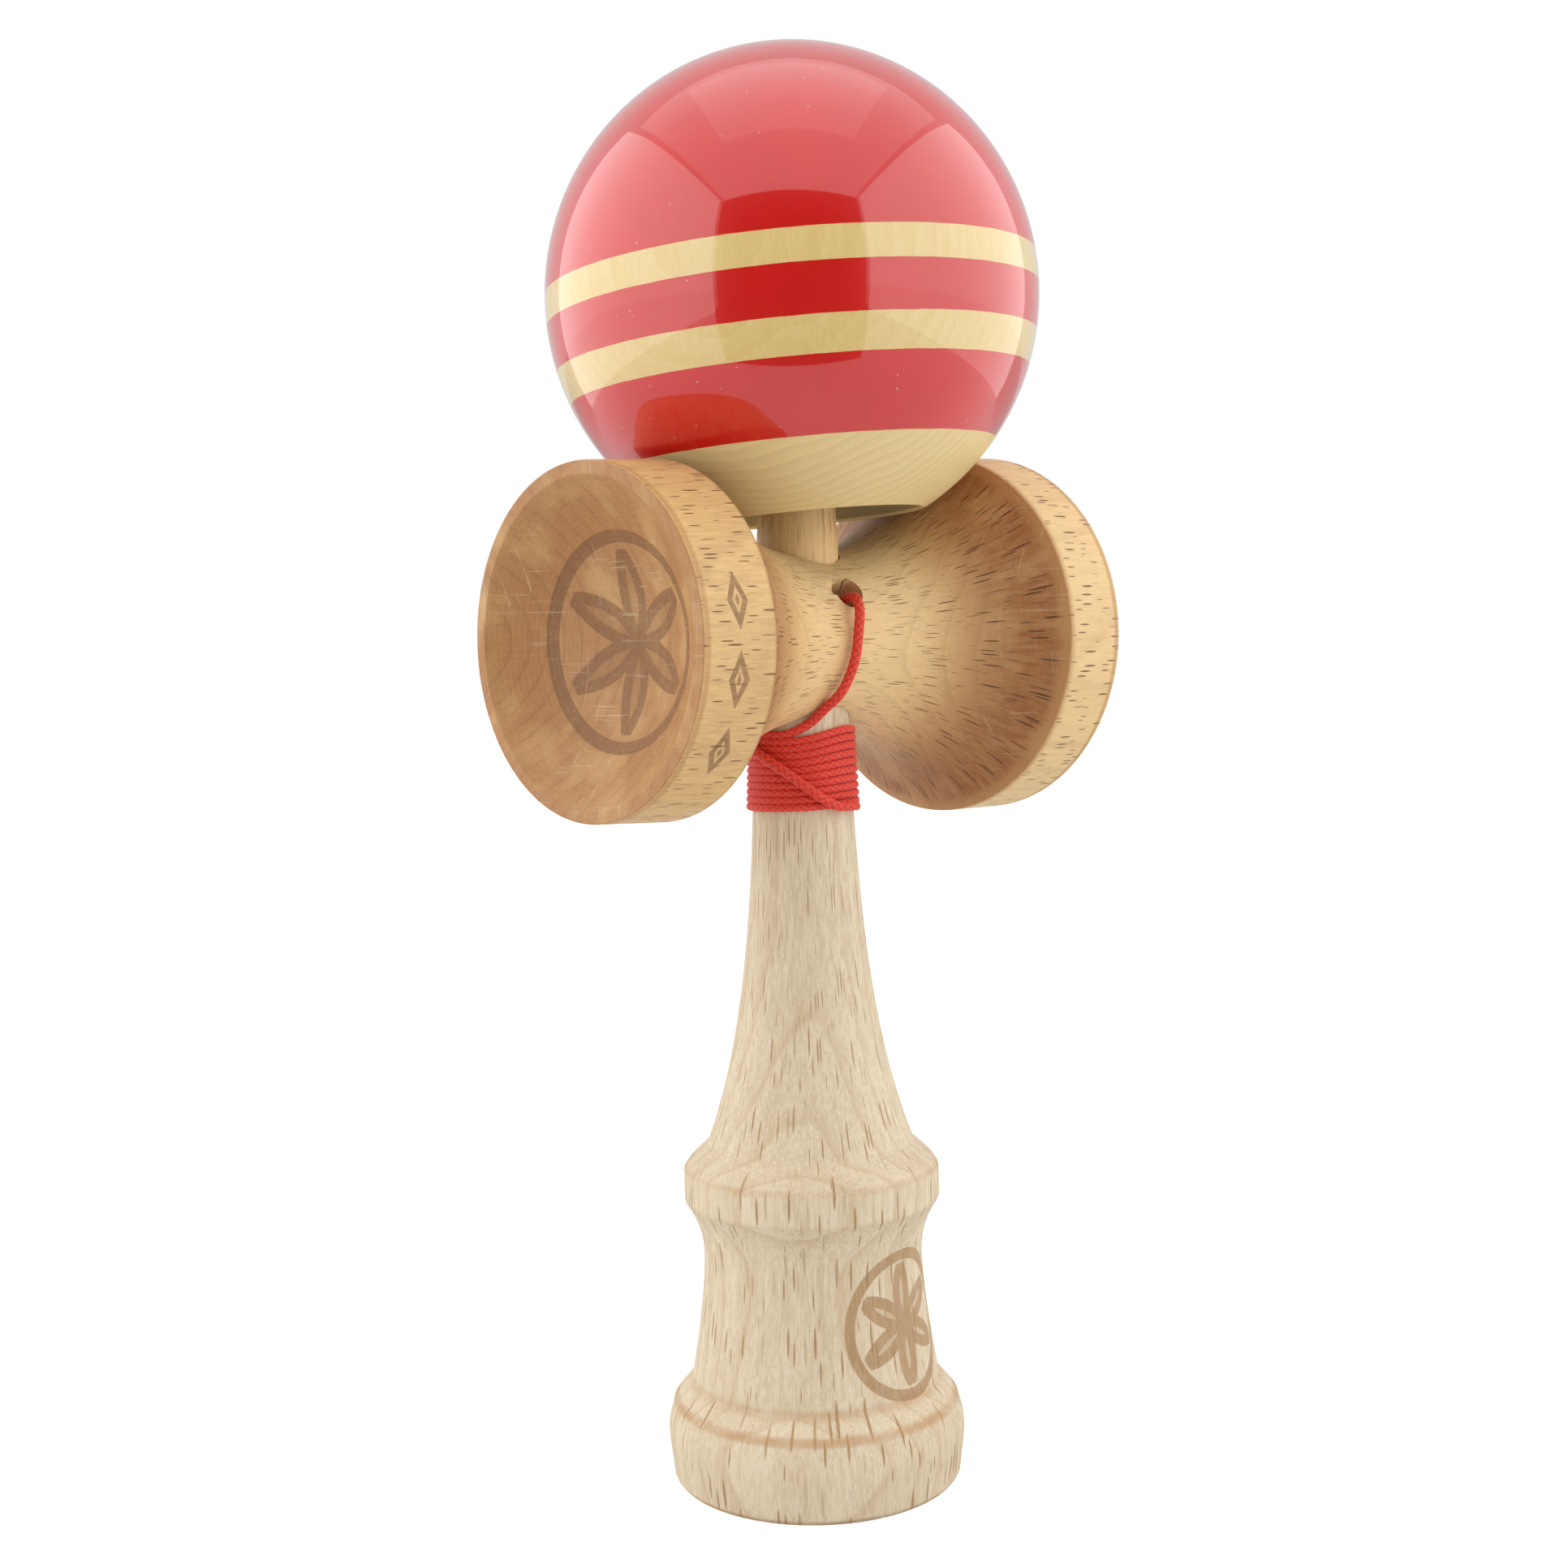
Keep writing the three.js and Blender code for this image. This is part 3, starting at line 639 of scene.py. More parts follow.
def wood_figure():
    """Wood, in millimetres: growth rings about a pith, flecks and fibres along Z, and slow mottle."""
    def build(n, i):
        point = i["Point"]
        stretched = n.vector("MULTIPLY", point, (0.06, 0.06, 0.012))
        slow = n.add("TexNoise", Vector=stretched, Scale=1.0, Detail=2.0)
        sway = n.vector("SCALE", n.vector("SUBTRACT", slow.outputs[1], (0.5, 0.5, 0.5)))
        n.give(sway.node.inputs["Scale"], i["Sway"])
        moved = n.vector("ADD", n.vector("SUBTRACT", point, i["Pith"]), sway)
        x, y, z = n.add("SeparateXYZ", moved).outputs
        out = n.hypotenuse(x, y)
        out = n.plus(out, n.times(z, i["Slope"]))
        phase = n.math("FRACT", n.math("DIVIDE", out, i["Ring spacing"]))
        late = n.math("POWER", phase, 7.0)
        late = n.times(late, n.ramp(phase, 1.0, 0.93))
        across, ahead, along = n.add("SeparateXYZ", point).outputs
        girth = n.times(n.math("ARCTAN2", ahead, across), i["Girth"])
        cells = n.vector("MULTIPLY", n.add("CombineXYZ", girth, along, 0.0).outputs[0], i["Fleck density"])
        warped = n.vector("ADD", cells, n.vector("SCALE", slow.outputs[1]))
        flecks = n.add("TexVoronoi", Vector=warped, Scale=1.0, Randomness=1.0, voronoi_dimensions="2D")
        chance = n.add("SeparateColor", flecks.outputs["Color"]).outputs
        depth = n.ramp(chance[0], 0.1, 0.7)
        size = n.scaled(chance[1], 0.17, 0.1)
        inside = n.minus(size, flecks.outputs["Distance"])
        fleck = n.times(n.ramp(inside, 0.0, 0.08), depth)
        fine = n.stretched_noise(point, (4.5, 4.5, 0.35), 3.0, 0.6)
        broad = n.stretched_noise(point, (1.5, 1.5, 0.09), 3.0, 0.6)
        fibre = n.ramp(n.scaled(fine, 0.62, n.times(broad, 0.38)), 0.32, 0.68)
        mottle = n.stretched_noise(point, (0.16, 0.16, 0.05), 3.0)
        return {"Rings": late, "Growth": phase, "Flecks": fleck, "Fibre": fibre, "Mottle": mottle}
    return group(
        "Wood figure",
        [("Point", VECTOR, None), ("Pith", VECTOR, None), ("Ring spacing", FLOAT, 3.0),
         ("Slope", FLOAT, 0.0), ("Sway", FLOAT, 3.0), ("Girth", FLOAT, 15.0),
         ("Fleck density", VECTOR, (1.8, 0.15, 1.0))],
        [("Rings", FLOAT), ("Growth", FLOAT), ("Flecks", FLOAT), ("Fibre", FLOAT), ("Mottle", FLOAT)], build)


def rosette():
    """A six-petalled compass rosette, drawn as burnt lines on a plane. Millimetres."""
    def build(n, i):
        flat = n.add("CombineXYZ", i["Across"], i["Up"], 0.0).outputs[0]
        out = n.vector("LENGTH", flat)
        turn = n.math("PINGPONG", n.plus(n.math("ARCTAN2", i["Across"], i["Up"]), math.tau), math.pi / 6)
        folded = n.add("CombineXYZ", n.times(out, n.math("COSINE", turn)),
                       n.times(out, n.math("SINE", turn)), 0.0).outputs[0]
        centre = n.vector("SCALE", (math.cos(math.pi / 3), -math.sin(math.pi / 3), 0.0))
        n.give(centre.node.inputs["Scale"], i["Radius"])
        away = n.minus(n.vector("DISTANCE", folded, centre), i["Radius"])
        within = n.ramp(n.minus(out, i["Radius"]), 0.1, -0.1)
        half = n.times(i["Stroke"], 0.5)
        outer = n.plus(half, 0.12)
        petal_line = n.add("MapRange", n.math("ABSOLUTE", away), outer, half, 0.0, 1.0).outputs[0]
        petal = n.times(n.ramp(away, 0.05, -0.05), 0.42)
        inner = n.times(n.most(petal_line, petal), within)
        rim = n.minus(out, n.times(i["Radius"], 1.14))
        rim_line = n.add("MapRange", n.math("ABSOLUTE", rim), outer, half, 0.0, 1.0).outputs[0]
        return {"Mask": n.most(inner, rim_line)}
    return group(
        "Compass rosette",
        [("Across", FLOAT, 0.0), ("Up", FLOAT, 0.0), ("Radius", FLOAT, 9.0), ("Stroke", FLOAT, 0.9)],
        [("Mask", FLOAT)], build)


def handling():
    """Light scratches and rubbed patches from use. Millimetres."""
    def build(n, i):
        point = i["Point"]
        lengthways = n.stretched_noise(point, (0.08, 3.4, 0.1), 1.0)
        crossways = n.stretched_noise(point, (0.1, 0.1, 3.1), 1.0)
        scratches = n.most(n.ramp(lengthways, 0.66, 0.72), n.ramp(crossways, 0.66, 0.72))
        patches = n.ramp(n.noise(point, 0.11, 3.0), 0.4, 0.7)
        return {"Scratches": n.times(scratches, patches), "Rubbed": patches}
    return group("Handling", [("Point", VECTOR, None)], [("Scratches", FLOAT), ("Rubbed", FLOAT)], build)


# ---- Materials ----

def new_material(name):
    """A material with a Principled shader, its node adder and the piece's own point in millimetres."""
    material = bpy.data.materials.new(name)
    material.use_nodes = True
    tree = material.node_tree
    shader = tree.nodes["Principled BSDF"]
    nodes = Nodes(tree)
    place = nodes.add("TexCoord")
    point = nodes.vector("MULTIPLY", place.outputs["Object"], MM_PER_METRE)
    return material, shader, nodes, point, place.outputs["Normal"]


def shade(colour_value, factor):
    """A colour made darker or lighter."""
    return tuple(channel * factor for channel in colour_value)


def bumped(nodes, shader, height, strength, distance_mm):
    """Feeds a height to the shader's normal."""
    bump = nodes.add("Bump", Height=height, Strength=strength, Distance=distance_mm * MM)
    nodes.give(shader.inputs["Normal"], bump.outputs[0])


def pale_beech(finish, sizes, marks):
    """The handle's sanded beech: upright flecks, growth arcs, rubbed edges, painted shade in the crease
    above the ring, a spike brightened with painted light and a burnt rosette.
    """
    material, shader, n, point, _ = new_material("pale_beech")
    x, y, z = n.add("SeparateXYZ", point).outputs
    figure = use(n, wood_figure(), Point=point, Pith=(34.0, 30.0, 0.0), Ring_spacing=2.5, Slope=0.05,
                 Sway=5.5, Girth=14.0, Fleck_density=(1.3, 0.115, 1.0))
    wear = use(n, handling(), Point=point)
    tone = n.scaled(figure["Fibre"], 0.75, n.scaled(figure["Mottle"], 0.8, -0.55))
    base = n.mix(tone, finish.pale_beech, finish.pale_shade)
    base = n.mix(n.times(figure["Growth"], 0.14), base, finish.pale_shade)
    pores = n.stretched_noise(point, (5.0, 5.0, 1.9), 3.0, 0.75)
    base = n.mix(n.ramp(pores, 0.52, 0.72, 0.0, 0.35), base, finish.burnish)
    base = n.mix(n.times(figure["Rings"], 0.36), base, finish.burnish)
    base = n.mix(n.times(figure["Flecks"], 0.8), base, finish.pale_fleck)
    collar_top = sizes.collar_bottom + sizes.collar_band
    # Darker bands: the first is a dark line with soft painted shade in the crease above the ring, the others
    # are rubbed turned edges.
    lines = [(sizes.ring_height + sizes.bevel_height, 0.1, 0.9, 0.42),
             (sizes.ring_height + 0.3, 0.1, 0.7, 0.66), (collar_top + 0.25, 0.05, 0.6, 0.34),
             (sizes.collar_bottom, 0.1, 0.5, 0.12), (0.2, 0.2, 0.5, 0.5)]
    uneven = n.ramp(n.noise(point, 0.13, 3.0), 0.35, 0.65, 0.45, 1.0)
    for height, half, soft, amount in lines:
        rub_and_crease_shade = n.times(n.times(n.band(z, height, half, soft), uneven), amount)
        base = n.mix(rub_and_crease_shade, base, finish.burnish)
    turn = n.math("ARCTAN2", y, x)
    around = n.times(n.minus(turn, marks.handle_turn), 14.6)
    mark = use(n, rosette(), Across=around, Up=n.minus(z, marks.handle_height), Radius=marks.handle_reach,
               Stroke=marks.handle_stroke)["Mask"]
    mark = n.times(mark, n.ramp(z, sizes.collar_bottom, sizes.collar_bottom - 1))
    burn = n.times(mark, n.ramp(figure["Fibre"], 0.1, 0.9, 0.85, 0.6))
    base = n.mix(burn, base, finish.pale_engraving)
    spike = n.ramp(z, CROSS_HEIGHT + 3, CROSS_HEIGHT + 6)
    streaks = n.stretched_noise(point, (1.3, 1.3, 0.08), 4.0, 0.7)
    dark_streak = n.times(n.ramp(streaks, 0.5, 0.64), spike)
    # The spike's own warmer wood, made brighter than the cross-piece's beech as painted light against the
    # shade under the ball.
    base = n.mix(n.times(spike, 0.85), base, shade(finish.warm_beech, 1.25))
    base = n.mix(n.times(dark_streak, 0.5), base, finish.end_grain)
    n.give(shader.inputs["Base Color"], base)
    rough = n.scaled(figure["Fibre"], 0.16, n.scaled(wear["Rubbed"], -0.08, 0.5))
    n.give(shader.inputs["Roughness"], rough)
    height = n.scaled(figure["Flecks"], -0.9, figure["Fibre"])
    height = n.scaled(mark, -0.8, height)
    height = n.scaled(n.times(streaks, spike), 2.5, height)
    bumped(n, shader, height, 0.35, 0.08)
    shader.inputs["Specular IOR Level"].default_value = 0.35
    return material


def warm_beech(finish, sizes, marks):
    """The cross-piece's beech: flecks along X, end grain in the cups, burnt marks and turned lines; painted
    shade on the cups' backs and painted light on the big cup's end.
    """
    material, shader, n, point, normal = new_material("warm_beech")
    x, y, z = n.add("SeparateXYZ", point).outputs
    along = n.add("CombineXYZ", y, z, x).outputs[0]
    figure = use(n, wood_figure(), Point=along, Pith=(26.0, 1.0, 0.0), Ring_spacing=2.1, Slope=0.03,
                 Sway=3.5, Girth=18.0, Fleck_density=(2.1, 0.19, 1.0))
    wear = use(n, handling(), Point=point)
    out = n.hypotenuse(y, z)
    tone = n.scaled(figure["Fibre"], 0.8, n.scaled(figure["Mottle"], 0.8, -0.5))
    base = n.mix(tone, finish.warm_beech, finish.warm_shade)
    base = n.mix(n.times(n.ramp(out, 14.0, 10.6), 0.42), base, finish.saddle)
    # Painted light: the big cup's end, which the right panel lights, made lighter with the saddle colour.
    base = n.mix(n.times(n.ramp(x, 24.0, 25.0), 0.4), base, finish.saddle)
    facing = n.math("ABSOLUTE", n.add("SeparateXYZ", normal).outputs[0])
    end_grain = n.ramp(facing, 0.3, 0.86)
    base = n.mix(n.times(end_grain, 0.82), base, finish.end_grain)
    # Painted shade on the flared backs of both cups, deepening their own darker end grain.
    back = n.times(n.ramp(n.math("ABSOLUTE", x), 24.3, 23.4), n.ramp(out, 11.5, 19.0))
    base = n.mix(n.times(back, n.ramp(figure["Fibre"], 0.1, 0.9, 0.85, 0.6)), base, finish.flare)
    rings = n.times(figure["Rings"], n.scaled(end_grain, 0.3, 0.2))
    base = n.mix(rings, base, shade(finish.end_grain, 0.6))
    base = n.mix(n.times(n.ramp(figure["Mottle"], 0.45, 0.7), n.times(end_grain, 0.35)), base,
                 finish.warm_beech)
    around = n.times(n.math("ARCTAN2", z, y), 26.0)
    streaks = n.noise(n.add("CombineXYZ", around, n.times(out, 0.22), 0.0), 1.0, 4.0, 0.7)
    base = n.mix(n.times(n.ramp(streaks, 0.36, 0.74), n.times(back, 0.42)), base, finish.warm_shade)
    open_flecks = n.times(figure["Flecks"], n.ramp(end_grain, 0.4, 1.0, 0.9, 0.12))
    base = n.mix(open_flecks, base, finish.fleck)
    flare_flecks = n.times(figure["Flecks"], n.times(back, 0.85))
    base = n.mix(flare_flecks, base, shade(finish.fleck, 0.4))
    lip = n.band(x, -CROSS_HALF_LENGTH + 0.55, 0.15, 0.45)
    big_lip = n.band(x, CROSS_HALF_LENGTH - 0.55, 0.15, 0.45)
    back_edge = n.times(n.band(x, sizes.big_edge_offset - 0.3, 0.3, 1.1), n.ramp(out, 21.0, 22.6))
    rubbed = n.most(n.most(lip, big_lip), back_edge)
    rubbed = n.times(rubbed, n.ramp(out, 17.0, 19.6))
    base = n.mix(n.times(rubbed, 0.6), base, finish.burnish)
    in_cup = n.times(n.ramp(x, -24.6, -25.4), n.ramp(out, 18.6, 18.2))
    petals = use(n, rosette(), Across=y, Up=z, Radius=marks.cup_reach, Stroke=marks.cup_stroke)["Mask"]
    mark = n.times(petals, in_cup)
    mark = n.most(mark, band_marks(n, x, y, z, sizes, marks))
    burn = n.times(mark, n.ramp(figure["Fibre"], 0.1, 0.9, 0.82, 0.55))
    base = n.mix(burn, base, finish.engraving)
    base = n.mix(n.times(wear["Scratches"], n.times(end_grain, 0.4)), base, finish.pale_beech)
    n.give(shader.inputs["Base Color"], base)
    rough = n.scaled(figure["Fibre"], 0.16, n.scaled(wear["Rubbed"], -0.08, 0.42))
    n.give(shader.inputs["Roughness"], rough)
    turning = n.times(n.math("SINE", n.times(out, 11.0)), end_grain)
    height = n.scaled(figure["Flecks"], -0.9, figure["Fibre"])
    height = n.scaled(turning, 0.25, height)
    height = n.scaled(mark, -1.0, height)
    bumped(n, shader, height, 0.35, 0.08)
    shader.inputs["Specular IOR Level"].default_value = 0.4
    return material


def band_marks(n, x, y, z, sizes, marks):
    """Three burnt lozenges in a row on the small cup's band."""
    middle = -(CROSS_HALF_LENGTH + sizes.small_edge_offset) / 2
    band_radius = 20.7
    across = n.math("ABSOLUTE", n.minus(x, middle))
    turn = n.math("ARCTAN2", z, n.times(y, -1.0))
    mask = None
    for i in range(3):
        place = marks.first_lozenge - i * marks.lozenge_step
        along = n.math("ABSOLUTE", n.times(n.minus(turn, place), band_radius))
        shape = n.plus(n.math("DIVIDE", across, marks.lozenge_width),
                       n.math("DIVIDE", along, marks.lozenge_length))
        lozenge = n.times(n.ramp(shape, 1.0, 0.93), n.ramp(shape, 0.42, 0.5))
        dot = n.ramp(shape, 0.24, 0.17)
        shown = n.most(lozenge, dot)
        mask = shown if mask is None else n.most(mask, shown)
    on_band = n.ramp(n.plus(n.times(y, y), n.times(z, z)), 340.0, 380.0)
    return n.times(mask, on_band)


def ball_lacquer(finish, sizes):
    """Red gloss lacquer with two bare stripes under it, and a bare satin underside."""
    material, shader, n, point, _ = new_material("ball_lacquer")
    z = n.add("SeparateXYZ", point).outputs[2]
    wander = n.scaled(n.noise(point, 0.4, 3.0), 0.14, -0.07)
    edge = n.plus(z, wander)
    figure = use(n, wood_figure(), Point=point, Pith=(46.0, 26.0, 0.0), Ring_spacing=1.25, Slope=0.1,
                 Sway=4.0, Girth=26.0, Fleck_density=(1.8, 0.3, 1.0))
    upper_mid = (sizes.stripe_upper_top + sizes.stripe_upper_bottom) / 2
    upper_half = (sizes.stripe_upper_top - sizes.stripe_upper_bottom) / 2
    lower_mid = (sizes.stripe_lower_top + sizes.stripe_lower_bottom) / 2
    lower_half = (sizes.stripe_lower_top - sizes.stripe_lower_bottom) / 2
    stripes = n.most(n.band(edge, upper_mid, upper_half - 0.04, 0.08),
                     n.band(edge, lower_mid, lower_half - 0.04, 0.08))
    out = n.vector("LENGTH", point)
    skin = n.ramp(out, BALL_RADIUS - 0.6, BALL_RADIUS - 0.35)
    under = n.ramp(edge, sizes.paint_bottom + 0.05, sizes.paint_bottom - 0.05)
    bare = n.most(under, n.minus(1.0, skin))
    grain = n.scaled(figure["Fibre"], 0.5, n.scaled(figure["Growth"], 0.35, -0.2))
    stripe_wood = n.mix(n.times(grain, 0.75), finish.stripe_wood, finish.ball_wood)
    bottom_wood = n.mix(n.scaled(figure["Fibre"], 0.2, n.times(figure["Growth"], 0.38)),
                        finish.ball_wood, shade(finish.ball_wood, 0.72))
    bottom_wood = n.mix(skin, shade(finish.ball_wood, 0.45), bottom_wood)
    cloud = n.scaled(n.noise(point, 0.09, 2.0), 0.24, 0.88)
    paint = n.mix(1.0, finish.lacquer, n.add("CombineColor", cloud, cloud, cloud).outputs[0], "MULTIPLY")
    base = n.mix(stripes, paint, stripe_wood)
    base = n.mix(bare, base, bottom_wood)
    specks = n.add("TexVoronoi", Vector=point, Scale=0.55, Randomness=1.0)
    chance = n.add("SeparateColor", specks.outputs["Color"]).outputs[0]
    dust = n.times(n.ramp(specks.outputs["Distance"], 0.075, 0.04), n.ramp(chance, 0.5, 0.6))
    dust = n.times(dust, n.minus(1.0, bare))
    base = n.mix(n.times(dust, 0.5), base, (0.8, 0.55, 0.45))
    n.give(shader.inputs["Base Color"], base)
    n.give(shader.inputs["Roughness"], n.between(bare, 0.3, 0.42))
    n.give(shader.inputs["Coat Weight"], n.between(bare, 1.0, 0.12))
    shader.inputs["Coat Roughness"].default_value = 0.035
    shader.inputs["Coat IOR"].default_value = 1.66
    shader.inputs["Specular IOR Level"].default_value = 0.3
    peel = n.noise(point, 0.35, 2.0)
    height = n.scaled(peel, 0.6, n.times(n.times(figure["Fibre"], bare), 0.6))
    height = n.scaled(dust, 0.5, height)
    height = n.scaled(stripes, -0.15, height)
    bumped(n, shader, height, 0.12, 0.06)
    return material


def braided_string(finish):
    """Tight polyester braid with fine fibres: painted shade in the valleys between strands and a touch of
    painted light on the crowns.
    """
    material, shader, n, point, _ = new_material("braided_string")
    crown = n.add("Attribute", attribute_name="braid").outputs["Fac"]
    fibres = n.noise(point, 9.0, 3.0, 0.7)
    slow = n.noise(point, 0.3, 2.0)
    # Painted shade in the braid's valleys and slightly lighter crowns as painted light, set by the braid's
    # height.
    dark = shade(finish.braid, 0.4)
    light = tuple(min(1, c * 1.1 + 0.02) for c in finish.braid)
    base = n.mix(n.ramp(crown, 0.1, 0.85), dark, light)
    base = n.mix(n.times(n.ramp(slow, 0.4, 0.7), 0.25), base, shade(finish.braid, 0.8))
    n.give(shader.inputs["Base Color"], base)
    n.give(shader.inputs["Roughness"], n.scaled(fibres, 0.2, 0.55))
    shader.inputs["Sheen Weight"].default_value = 0.12
    shader.inputs["Sheen Roughness"].default_value = 0.4
    bumped(n, shader, fibres, 0.5, 0.06)
    return material


def bead_wood(finish):
    """Plain turned bead."""
    material, shader, n, point, _ = new_material("bead_wood")
    figure = use(n, wood_figure(), Point=point, Pith=(9.0, 4.0, 0.0), Ring_spacing=1.2, Slope=0.1, Sway=1.0,
                 Girth=3.0, Fleck_density=(2.4, 0.3, 1.0))
    base = n.mix(figure["Growth"], finish.pale_beech, finish.pale_shade)
    base = n.mix(n.times(figure["Flecks"], 0.6), base, finish.fleck)
    n.give(shader.inputs["Base Color"], base)
    n.give(shader.inputs["Roughness"], n.scaled(figure["Fibre"], 0.2, 0.4))
    bumped(n, shader, figure["Fibre"], 0.3, 0.05)
    return material


# ---- The string's centre line ----

def smoothstep(value, low, high):
    """0 at low, 1 at high, level at both."""
    t = np.clip((value - low) / (high - low), 0, 1)
    return t * t * (3 - 2 * t)


def drawn_in(route, gap, high, low, sizes):
    """A route's points drawn in to gap off the grip, from none at height high to all at low."""
    made = []
    for x, y, z in route:
        out = math.hypot(x, y)
        share = float(smoothstep(z, high, low)) if out > 3 else 0.0
        wanted = out + (grip_radius(z, sizes) + gap - out) * share
        made.append((x * wanted / out, y * wanted / out, z) if out > 3 else (x, y, z))
    return made


def settled(route, place, sag, reach=2.2):
    """A route's points lowered near a place, as a limp string settles onto an edge."""
    return [(x, y, z - sag * math.exp(-(math.dist((x, y, z), place) / reach) ** 2)) for x, y, z in route]


def winding_route(string, handle, start, end_angle):
    """The wound turns, from beside start down to end_angle, kept under the cross-piece."""
    per_turn = 24
    front = math.radians(-75)
    begin = math.atan2(start[1], start[0])
    sweep = 2 * math.pi * string.turns + (begin - end_angle) % (2 * math.pi)
    steps = round(sweep / (2 * math.pi) * per_turn)
    route = []
    for i in range(steps + 1):
        turned = sweep * i / steps
        height = string.top_height - string.pitch * turned / (2 * math.pi)
        aside = (begin - turned - front + math.pi) % (2 * math.pi) - math.pi
        lifted = math.cos(1.2 * aside) ** 2 if abs(aside) < math.pi / 2.4 else 0.0
        height += string.fan * (1 - turned / sweep) * lifted
        out = grip_radius(height, handle) + string.pressed_depth / 2
        route.append((out * math.cos(begin - turned), out * math.sin(begin - turned), height))
    return route


def evenly(points, step):
    """Points at an even spacing along a line of points."""
    reach = np.concatenate([[0], np.cumsum(np.linalg.norm(np.diff(points, axis=0), axis=1))])
    at = np.linspace(0, reach[-1], round(reach[-1] / step) + 1)
    return np.stack([np.interp(at, reach, points[:, k]) for k in range(3)], 1)


def string_route(string, handle):
    """The whole centre line, with where the winding starts and ends along it."""
    pressed = string.pressed_depth / 2
    lead = drawn_in(settled(LEAD_ROUTE[:-2], HOLE_MOUTH, string.mouth_sag), pressed, 98.0, 94.6, handle)
    riser = drawn_in(RISER_ROUTE, string.pressed_depth + string.diameter / 2, 93.5, 91.0, handle)
    winding = winding_route(string, handle, LEAD_ROUTE[-2], math.radians(-38))
    control = [*lead, *winding, *riser, *OVER_BALL_ROUTE]
    steps = 6
    fine = curve_through(control, steps)
    marks = np.array([len(lead), len(lead) + len(winding)]) * steps
    reach = np.concatenate([[0], np.cumsum(np.linalg.norm(np.diff(fine, axis=0), axis=1))])
    return evenly(fine, string.step), reach[marks]


def carried_frames(line_points, first, last):
    """Outward and sideways directions: away from the handle in the winding, carried along outside it."""
    along = np.gradient(line_points, axis=0)
    along /= np.linalg.norm(along, axis=1)[:, None]
    outward = line_points * (1.0, 1.0, 0.0)
    outward /= np.maximum(np.linalg.norm(outward, axis=1), 1e-6)[:, None]
    for indices in (range(first - 1, -1, -1), range(last, len(line_points))):
        for i in indices:
            outward[i] = outward[i + 1 if indices.step < 0 else i - 1]
            outward[i] -= along[i] * (outward[i] @ along[i])
            outward[i] /= np.linalg.norm(outward[i])
    outward -= along * (outward * along).sum(1)[:, None]
    outward /= np.linalg.norm(outward, axis=1)[:, None]
    return outward, np.cross(along, outward)


def braid_height(turn, along, strands=4, stitch=0.95):
    """Height of a round braid's surface, 0 to 1, at an angle and a distance along it."""
    lane = turn * strands / (2 * math.pi)
    first, second = lane + along / stitch, lane - along / stitch
    over = (np.floor(first) + np.floor(second)) % 2
    across = np.where(over < 0.5, first % 1, second % 1) - 0.5
    lengthways = np.where(over < 0.5, second % 1, first % 1) - 0.5
    return np.cos(math.pi * across) ** 0.6 * (1 - 1.4 * lengthways ** 2)


def braided_tube(name, points, outward, sideways, width, depth, sizes, spacing):
    """A closed braided tube swept along points, in metres, with its braid height kept on the mesh."""
    count, sides = len(points), sizes.sides
    turn = np.arange(sides) * 2 * math.pi / sides
    height = braid_height(turn[None, :], (np.arange(count) * spacing)[:, None])
    lift = 1 + sizes.relief * (height - 0.6) * 2
    ring = (outward[:, None] * (np.cos(turn)[None, :] * depth[:, None] * lift)[..., None]
            + sideways[:, None] * (np.sin(turn)[None, :] * width[:, None] * lift)[..., None])
    verts = (points[:, None] + ring).reshape(-1, 3) * MM
    ends = np.array([points[0], points[-1]]) * MM
    faces = []
    for i in range(count - 1):
        for j in range(sides):
            k = (j + 1) % sides
            faces.append((i * sides + j, i * sides + k, (i + 1) * sides + k, (i + 1) * sides + j))
    start, end = len(verts), len(verts) + 1
    for j in range(sides):
        k = (j + 1) % sides
        faces.append((start, k, j))
        faces.append((end, (count - 1) * sides + j, (count - 1) * sides + k))
    mesh = bpy.data.meshes.new(name)
    mesh.from_pydata(np.concatenate([verts, ends]).tolist(), [], faces)
    braid = mesh.attributes.new("braid", "FLOAT", "POINT")
    braid.data.foreach_set("value", np.concatenate([height.ravel(), [0.5, 0.5]]).astype(np.float32))
    smooth_with_edges(mesh, 180)
    return mesh


def knot_mesh(name, centre, axis, sizes, outer=1.55):
    """An overhand knot pulled tight: a trefoil of the same braid."""
    t = np.linspace(0, 2 * math.pi, 361)
    trefoil = np.stack([np.sin(t) + 2 * np.sin(2 * t),
                        np.cos(t) - 2 * np.cos(2 * t),
                        -np.sin(3 * t) * 1.3], 1)
    strand = sizes.diameter * 0.44
    trefoil *= (outer - strand) / 3
    turn = np.array(UP.rotation_difference(axis).to_matrix())
    points = evenly(trefoil @ turn.T + np.array(centre), sizes.step)
    outward, sideways = carried_frames(points, 1, 1)
    size = np.full(len(points), strand)
    return braided_tube(name, points, outward, sideways, size, size, sizes, sizes.step)


# ---- Operators: one for each piece, and the stage ----

def settings():
    """The kendama's settings on this scene."""
    return bpy.context.scene.kendama


def hole_axis(cross):
    """The string hole's direction, out of the front of the cross-piece."""
    return Vector((0, -math.cos(cross.hole_rise), math.sin(cross.hole_rise)))


